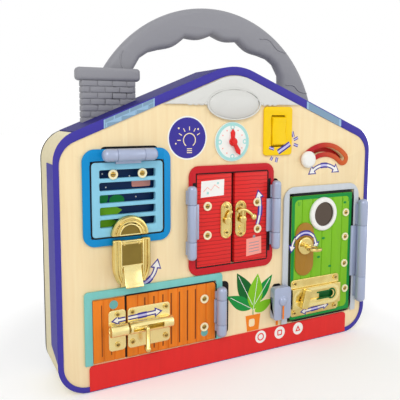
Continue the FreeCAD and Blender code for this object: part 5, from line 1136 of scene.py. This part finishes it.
class BOARD_OT_prints(bpy.types.Operator):
    """Printed pictures, arrows, and black outlines of painted shade on the front"""

    bl_idname = "board.prints"
    bl_label = "Prints"

    def roof(self):
        """Patches on the roof border, with pale bricks and thin lines."""

        def strip(left, right, high, low):
            return [(x, roof_line(x, inset)) for x, inset in (
                (left, high), (right, high), (right, low), (left, low),
            )]

        bricks = [strip(left, left + 1, 1, 4) for left in (-122, -108, -96)]
        bricks += [strip(left, left + 1, 4.4, 7.8) for left in (-129, -115, -102, -90)]
        print_on("roof_patches", "board", TRIM, [
            ("Slate Ink", [strip(-131, -84, 0.9, 8)]), ("Slate Ink", [strip(86, 133, 0.9, 8)]),
            ("Pale Slate Ink", bricks + [strip(-130.5, -84.5, 3.9, 4.4)]),
            ("Pale Slate Ink", [strip(-131, -129.8, 1, 7.9), strip(-85.2, -84, 1, 7.9)]),
            ("Pale Slate Ink", [strip(86, 88.5, 1, 7.9), strip(130, 133, 1, 7.9)]),
        ])

    def badge(self):
        """Round badge with a plain lamp drawing."""
        x, z = -51, 223
        bulb = (x + 2, z - 2)
        lines = [arc_points(*bulb, 6.2, -55, 235, 20)]
        rays = [[polar(*bulb, reach, d) for reach in (9, 12.5)] for d in range(30, 181, 30)]
        foot = [[(x - 0.6, z - 10 - k * 1.8), (x + 4.6, z - 10 - k * 1.8)] for k in range(3)]
        dots = ((x - 9, z + 9, 0.9), (x + 11, z + 8, 0.9), (x - 12, z - 5, 0.8))
        print_on("badge", "board", FACE, [
            ("White Ink", [disc(x, z, 20.2, 48)]), ("Violet Ink", [disc(x, z, 18.9, 48)]),
            ("Birch Ink", [stroke(line, 0.9) for line in lines]
             + [stroke(line, 0.8) for line in rays + foot] + [disc(*dot, 10) for dot in dots]),
        ])

    def dial(self):
        """Aqua ring, tabs and small marks."""
        quarters = range(0, 360, 90)
        hours = [turn for turn in range(0, 360, 30) if turn % 90]
        print_on("dial_print", "board", FACE - 1.5, [
            ("Aqua Ink", [disc(*CLOCK, 18.6, 48), disc(*CLOCK, 15.6, 48)]),
            ("Aqua Ink", [disc(*polar(*CLOCK, 14.2, turn), 2.5, 16) for turn in quarters]),
            ("White Ink", [disc(*polar(*CLOCK, 14.0, turn), 1.2, 12) for turn in quarters]),
            ("Blush Ink", [disc(*polar(*CLOCK, 12.4, turn), 0.7, 10) for turn in hours]),
        ])

    def arrows(self):
        """Arrows that show how the pieces move."""
        key = (86, 105, 15.8)
        lift = [(-108.5, 88.2), (-106.0, 88.7)] + arc_points(-101, 108.5, 18, -94, -10, 10)
        over, under = arc_points(*key, 139, 41, 12), arc_points(112, 166, 25, 126, 56, 14)
        bolt = [(88 + 3 * k, 35.2 + 0.2 * k) for k in range(10)]
        gate = [(-111.9 + 3 * k, 62.8 + 0.12 * k) for k in range(10)]
        gate_end = [(-114.6 - k, 62.7 - 0.04 * k) for k in range(8)]
        for name, body, y, layers in (
            ("latch", "board", FACE, arrow(lift, 2.2, 4.0)),
            ("hook", "right_door", LEAF, arrow(arc_points(-15.6, 152, 45, -22, 14), 2.1, 3.8)),
            ("key", "tall_door", LEAF, arrow(arc_points(*key, 172, 8, 16), 2.0, 3.4, both=True)),
            ("key_middle", "tall_door", PLATE, [
                ("Violet Ink", [stroke(over, 4.4)]), ("White Ink", [stroke(over, 2.0)]),
                ("Violet Ink", [stroke(over[3:-3], 5.4)]), ("Lilac Ink", [stroke(over[3:-3], 2.0)]),
            ]),
            ("slider", "board", FACE, arrow(under, 2.3, 4.0, both=True)),
            ("bolt", "tall_door", PLATE, arrow(bolt, 1.9, 2.7, both=True)),
            ("gate", "yard_gate", PLATE, arrow(gate, 2.0, 2.9)),
            ("gate_end", "board", PLATE, arrow(gate_end, 2.0, 2.9)[:4]),
        ):
            print_on("arrow_" + name, body, y, layers)
        rays = (
            [(42.4, 198.8), (44.6, 202.2)], [(49.1, 196.6), (50.4, 201.4)],
            [(68.9, 227.2), (70.4, 221.7)], [(71.0, 218.8), (76.0, 221.0)],
            [(71.0, 214.2), (76.2, 212.4)],
        )
        short, long = [(38.8, 211.8), (44.6, 210.1)], [(49.6, 206.8), (64.2, 215.1)]
        print_on("switch_rays", "board", FACE, each("Violet Ink", [stroke(r, 3.0) for r in rays])
                 + each("Lilac Ink", [stroke(r, 1.2) for r in rays]))
        print_on("switch_label", "board", FACE - 2.4,
                 each("Violet Ink", [stroke(short, 3.0), stroke(long, 5.6)])
                 + each("Lilac Ink", [stroke(short, 1.2), stroke(long, 2.4)]))

    def windows(self):
        """Pictures behind the doors."""
        stars = (
            (-88, 199), (-118, 196), (-106, 190), (-90, 176), (-82, 168), (-128, 181), (-100, 171),
            (-84, 155), (-95, 146), (-131, 193),
        )
        bushes = [disc(-132, 172, 6), disc(-118, 169, 7, tall=0.7), disc(-134, 150, 5, tall=1.5)]
        meadow = [petal(-137, 158, 24, 13, 5), petal(-140, 146, 22, 11, 12)]
        flowers = ((-96, 44), (-78, 62), (-60, 42), (-40, 58))
        pictures = {
            "window": [("Navy Ink", [panel(-139, 142, -81, 200, 2)])]
            + each("Leaf Ink", bushes) + each("Lime Ink", meadow) + [
                ("White Ink", [disc(*star, 0.7, 8) for star in stars]),
                ("Blush Ink", [panel(-104, 180, -86, 187, 1.5)]),
            ],
            "double": [
                ("Birch Ink", [panel(-40, 102, -8, 186, 2), panel(3.5, 102, 35.5, 186, 2)]),
                ("Teal Ink", [panel(-40, 102, -8, 118, 1), panel(3.5, 102, 35.5, 118, 1)]),
                ("Sun Ink", [disc(-24, 160, 10)]),
                ("Sky Ink", [disc(20, 154, 9), disc(20, 154, 6)]),
                ("Red Ink", [panel(-34, 118, -14, 136, 2)]),
                ("White Ink", [panel(9, 118, 30, 132, 3)]),
            ],
            "tall": [
                ("Sky Ink", [panel(72, 31, 148, 157, 2)]),
                ("White Ink", [disc(92, 138, 8, tall=0.6), disc(126, 128, 9, tall=0.6)]),
                ("Lime Ink", [panel(72, 31, 148, 58, 2)]),
                ("Leaf Ink", [petal(110, 52, 46, 26, 90)]),
                ("Bark Ink", [panel(107.5, 46, 112.5, 58)]),
            ],
            "gate": [
                ("Lime Ink", [panel(-109, 28, -25, 80, 2)]),
                ("Sun Ink", [disc(*flower, 3.4, 14) for flower in flowers]),
                ("White Ink", [disc(*flower, 1.4, 10) for flower in flowers]),
            ],
        }
        for name, layers in pictures.items():
            print_on("picture_" + name, "board", BACKER, layers)

    def doors(self):
        """Prints on the doors and the gate."""
        paper = [(-38, 166.5), (-13, 167.5), (-12.5, 183), (-37.5, 182)]
        hills = stroke([(-35, 172), (-31, 176), (-27, 173), (-23, 178), (-18, 174.5)], 0.7)
        note = [(13.5, 104), (31.5, 105.5), (31, 123), (13.5, 121.5)]
        lines = [stroke([(16.5, z), (28.5, z + 0.8)], 0.7) for z in (108, 111, 114, 117)]
        edge = [panel(69.2, 27.7, 150.8, 159.8, 1), panel(73.0, 31.5, 147.0, 156.0, 5)]
        knots = ((112, 112), (122, 80), (141, 149), (106, 92))
        knots = [disc(*knot, 2.2, 14, 0.6) for knot in knots]
        marks = [stroke([(x, 150), (x + 0.3, 154)], 0.6) for x in (77, 79, 138, 146)]
        planks = [panel(x, 29.5, x + 1.3, 79) for x in (-96, -87, -78, -69.5, -61, -52.5, -44)]
        for name, body, layers in (
            ("door_paper", "left_door", [
                ("White Ink", [paper]), ("Blush Ink", [hills]),
                ("Aqua Ink", [disc(-30.5, 170.5, 1.3, 12), disc(-19.5, 179.5, 1.1, 12)]),
            ]),
            ("door_note", "right_door", [
                ("Blush Ink", [note]), ("Grey Ink", lines + [disc(22.6, 123.4, 1.6, 14)]),
            ]),
            ("tall_door_border", "tall_door", [("Leaf Ink", edge), ("Leaf Ink", knots + marks)]),
            ("gate_lines", "yard_gate", [("Bark Ink", planks)]),
            ("post_lines", "board", [
                ("Bark Ink", [panel(-136.5, 31, -135.6, 78), panel(-128, 31, -127.1, 78)]),
                ("Teal Ink", [disc(-125, 77, 4, 20)]),
            ]),
            ("gate_dot", "yard_gate", [("Teal Ink", [disc(-33.5, 34, 3.8, 20)])]),
        ):
            print_on(name, body, LEAF, layers)

    def strip_and_plant(self):
        """Discs on the strip and a potted plant above it."""
        print_on("strip_discs", "board", FACE - 1.4, [
            ("White Ink", [disc(x, 16.4, 6.6) for x in (33, 57, 81)]),
            ("Red Ink", [disc(33, 16.4, 4), disc(33, 16.4, 2.8)]),
            ("Red Ink", [panel(54, 13.4, 60, 19.4, 1), panel(55.2, 14.6, 58.8, 18.2)]),
            ("Red Ink", [[(77.6, 13.6), (84.4, 13.6), (81, 20)],
                         [(79.6, 14.8), (82.4, 14.8), (81, 17.6)]]),
        ])
        layers = [("Leaf Ink", [stroke([(24, 40), (24, 56)], 1)])]
        layers += [(ink, [petal(*leaf)]) for ink, *leaf in (
            ("Pine Ink", 23, 52, 40, 17, 118), ("Leaf Ink", 22, 48, 34, 14, 150),
            ("Leaf Ink", 25, 52, 36, 13, 52), ("Lime Ink", 24, 46, 38, 18, 82),
            ("Lime Ink", 26, 44, 24, 11, 25),
        )]
        layers.append(("Orange Ink", [[(15, 41), (33, 41), (31, 24.5), (17, 24.5)]]))
        layers.append(("Birch Ink", [panel(19, 29, 26, 37, 2)]))
        layers += each("White Ink", [stroke(vein, 0.5) for vein in (
            [(23, 52), (6, 84)], [(24, 46), (29, 80)], [(26, 52), (44, 77)], [(22, 48), (-3, 63)],
        )])
        print_on("plant", "board", FACE, layers)

    def shadows(self):
        """Painted shade: black ink in the gaps round the doors and the gate and beside the hinges
        and the keeper, and the strap under the keeper.
        """
        for number, (y, *outlines) in enumerate((
            (FACE, panel(-135, 208, -80.4, 217.0, 5)),
            (FACE, panel(43, 107.8, 52.6, 180.2, 4)),
            (FACE, panel(-20, 27.2, -5.4, 81.6, 5)),
            (FACE, panel(-114.9, 25.4, -112.4, 83)),
            (FACE, panel(152, 34, 165.6, 154, 5)),
            (LEAF, panel(-46.6, 107, -43.4, 181)),
            (LEAF, panel(38.9, 107, 41.6, 181)),
            (LEAF, panel(-43.3, 98.3, 38.8, 189.7, 3), panel(-42.2, 99.3, 37.7, 188.7, 1)),
            (LEAF, panel(66.3, 25.4, 153.8, 163.2, 9), panel(68.7, 27.2, 151.3, 160.3, 1)),
            (LEAF, panel(-144.6, 137.1, -75.4, 204.9, 5), panel(-143.3, 138.2, -76.7, 203.8, 4)),
            (LEAF, stroke([(-113.2, 83.7), (-24, 83.7), (-20.6, 80.2), (-20.6, 26)], 1.3)),
        ), start=1):
            print_on("outline_%d" % number, "board", y, [("Ink", outlines)])
        strap = [(52.6, 24.6), (55.6, 24.6), (55.4, 49), (52.8, 49)]
        # The keeper's black outline is painted shade; the orange strap is the keeper's own
        for name, y, ink, outline in (
            ("outline_keeper", FACE, "Ink", panel(47.4, 32.7, 58, 69.6, 3)),
            ("strap", FACE - 0.1, "Orange Ink", strap),
            ("strap_front", -39.1, "Orange Ink", panel(53.2, 34.8, 55.2, 50.5)),
        ):
            print_on(name, "board", y, [(ink, [outline])])

    def slides(self):
        """Bezel and inside of the slide bolt, with the inside and the keyhole's edge in dark green
        as painted shade, and the floor of the slider's slot.
        """
        inside = panel(71, 46.5, 130, 55.5)
        print_on("slide_inside", "tall_door", PLATE, [("Pine Ink", [inside])])
        keyhole = [(101, 54.6), (116.6, 54.6)] + arc_points(121.3, 51, 5.1, 135, -135, 18)
        keyhole += [(116.6, 47.4), (101, 47.4)]
        print_on("slide_front", "tall_door", -35.3, [
            ("Pale Brass", [panel(70.6, 41.0, 132.4, 60.9, 9), panel(72.6, 44, 129, 58, 6)]),
            ("Pine Ink", [stroke(keyhole, 1.8)]),
        ])
        floor = stroke(arc_points(112, 172.5, 35, 42, 136, 24), 13)
        print_on("slider_back", "board", -19.9, [("Red Ink", [floor])])

    def execute(self, context):
        self.roof()
        self.badge()
        self.dial()
        self.arrows()
        self.slides()
        self.windows()
        self.doors()
        self.strip_and_plant()
        self.shadows()
        return {"FINISHED"}


class BOARD_OT_stage(bpy.types.Operator):
    """Pale floor, soft lamps and the camera"""

    bl_idname = "board.stage"
    bl_label = "Stage"

    def floor(self):
        """Floor that keeps the shadow and fades to white with distance."""
        clear_selection()
        bpy.ops.mesh.primitive_plane_add(size=12, location=(0, 0, -0.0004))
        floor = bpy.context.object
        floor.name = "floor"
        material = bpy.data.materials.new("Pale Floor")
        material.use_nodes = True
        tree = material.node_tree
        reach = add_node(tree, "VectorMath", {0: object_place(tree)}, operation="LENGTH")
        fade = {
            "Value": reach.outputs["Value"], "From Min": 0.22, "From Max": 0.65, "To Min": 0.15
        }
        far = add_node(tree, "MapRange", fade).outputs[0]
        seen = add_node(tree, "LightPath").outputs["Is Camera Ray"]
        feed(tree, tree.nodes["Principled BSDF"], {
            "Base Color": (0.93, 0.93, 0.93, 1), "Roughness": 0.8, "Specular IOR Level": 0.1,
            "Emission Color": (1, 1, 1, 1), "Emission Strength": maths(tree, "MULTIPLY", seen, far),
        })
        floor.data.materials.append(material)

    def backdrop(self, scene):
        """White to the camera, glass and gloss, and softer as a light."""
        world = bpy.data.worlds.new("Soft Studio")
        world.use_nodes = True
        scene.world = world
        tree = world.node_tree
        light = feed(tree, tree.nodes["Background"], {"Color": (1, 1, 1, 1), "Strength": 0.62})
        white = add_node(tree, "Background", {"Color": (1, 1, 1, 1)})
        ray = add_node(tree, "LightPath").outputs
        seen = maths(tree, "ADD", ray["Is Camera Ray"], ray["Is Glossy Ray"])
        seen = maths(tree, "ADD", seen, ray["Is Transmission Ray"], True)
        mix = add_node(tree, "MixShader", {0: seen, 1: light.outputs[0], 2: white.outputs[0]})
        feed(tree, tree.nodes["World Output"], {"Surface": mix.outputs[0]})

    def lamps(self, scene):
        middle = Vector((0, 0, 0.17))
        for name, place, size, power in (
            ("key_light", (-0.9, -1.3, 1.3), 0.9, 13), ("fill_light", (1.3, -1.2, 0.7), 1.2, 5),
            ("back_light", (0.2, 1.5, 1.2), 1.0, 4),
        ):
            data = bpy.data.lights.new(name, "AREA")
            data.size = size
            data.energy = power
            lamp = bpy.data.objects.new(name, data)
            lamp.location = place
            lamp.rotation_euler = (middle - Vector(place)).to_track_quat("-Z", "Y").to_euler()
            scene.collection.objects.link(lamp)

    def execute(self, context):
        scene = context.scene
        self.floor()
        self.backdrop(scene)
        self.lamps(scene)
        data = bpy.data.cameras.new("camera")
        data.lens = 46.54
        data.sensor_width = 36
        data.shift_x = 0.0422
        data.shift_y = -0.0733
        data.clip_start = 0.01
        camera = bpy.data.objects.new("camera", data)
        camera.location = (-0.2647, -0.4550, 0.2435)
        camera.rotation_euler = Vector((0.438, 0.893, -0.106)).to_track_quat("-Z", "Y").to_euler()
        scene.collection.objects.link(camera)
        scene.camera = camera
        scene.view_settings.view_transform = "Standard"
        return {"FINISHED"}


OPERATORS = (
    BOARD_OT_materials, BOARD_OT_case, BOARD_OT_roof, BOARD_OT_lamp, BOARD_OT_frames,
    BOARD_OT_doors, BOARD_OT_hinges, BOARD_OT_latch, BOARD_OT_hook, BOARD_OT_tall_door_locks,
    BOARD_OT_gate_bolt, BOARD_OT_controls, BOARD_OT_rivets, BOARD_OT_prints, BOARD_OT_stage,
)


class BOARD_PT_sidebar(bpy.types.Panel):
    """Lists the pieces of the busy board"""

    bl_idname = "BOARD_PT_sidebar"
    bl_label = "Busy Board"
    bl_space_type = "VIEW_3D"
    bl_region_type = "UI"
    bl_category = "Busy Board"

    def draw(self, context):
        for group in (context.scene.board_sizes, context.scene.board_colours):
            for key in type(group).__annotations__:
                self.layout.prop(group, key)
        for operator in OPERATORS:
            self.layout.operator(operator.bl_idname)


CLASSES = (BoardSizes, BoardColours, *OPERATORS, BOARD_PT_sidebar)


def register():
    for item in CLASSES:
        bpy.utils.register_class(item)
    bpy.types.Scene.board_sizes = bpy.props.PointerProperty(type=BoardSizes)
    bpy.types.Scene.board_colours = bpy.props.PointerProperty(type=BoardColours)


def unregister():
    del bpy.types.Scene.board_colours
    del bpy.types.Scene.board_sizes
    for item in reversed(CLASSES):
        bpy.utils.unregister_class(item)


def main():
    register()
    for operator in OPERATORS:
        group, name = operator.bl_idname.split(".")
        if getattr(getattr(bpy.ops, group), name)() != {"FINISHED"}:
            raise RuntimeError("The operator %s could not finish" % operator.bl_label)
    clear_selection()


if __name__ == "__main__":
    main()
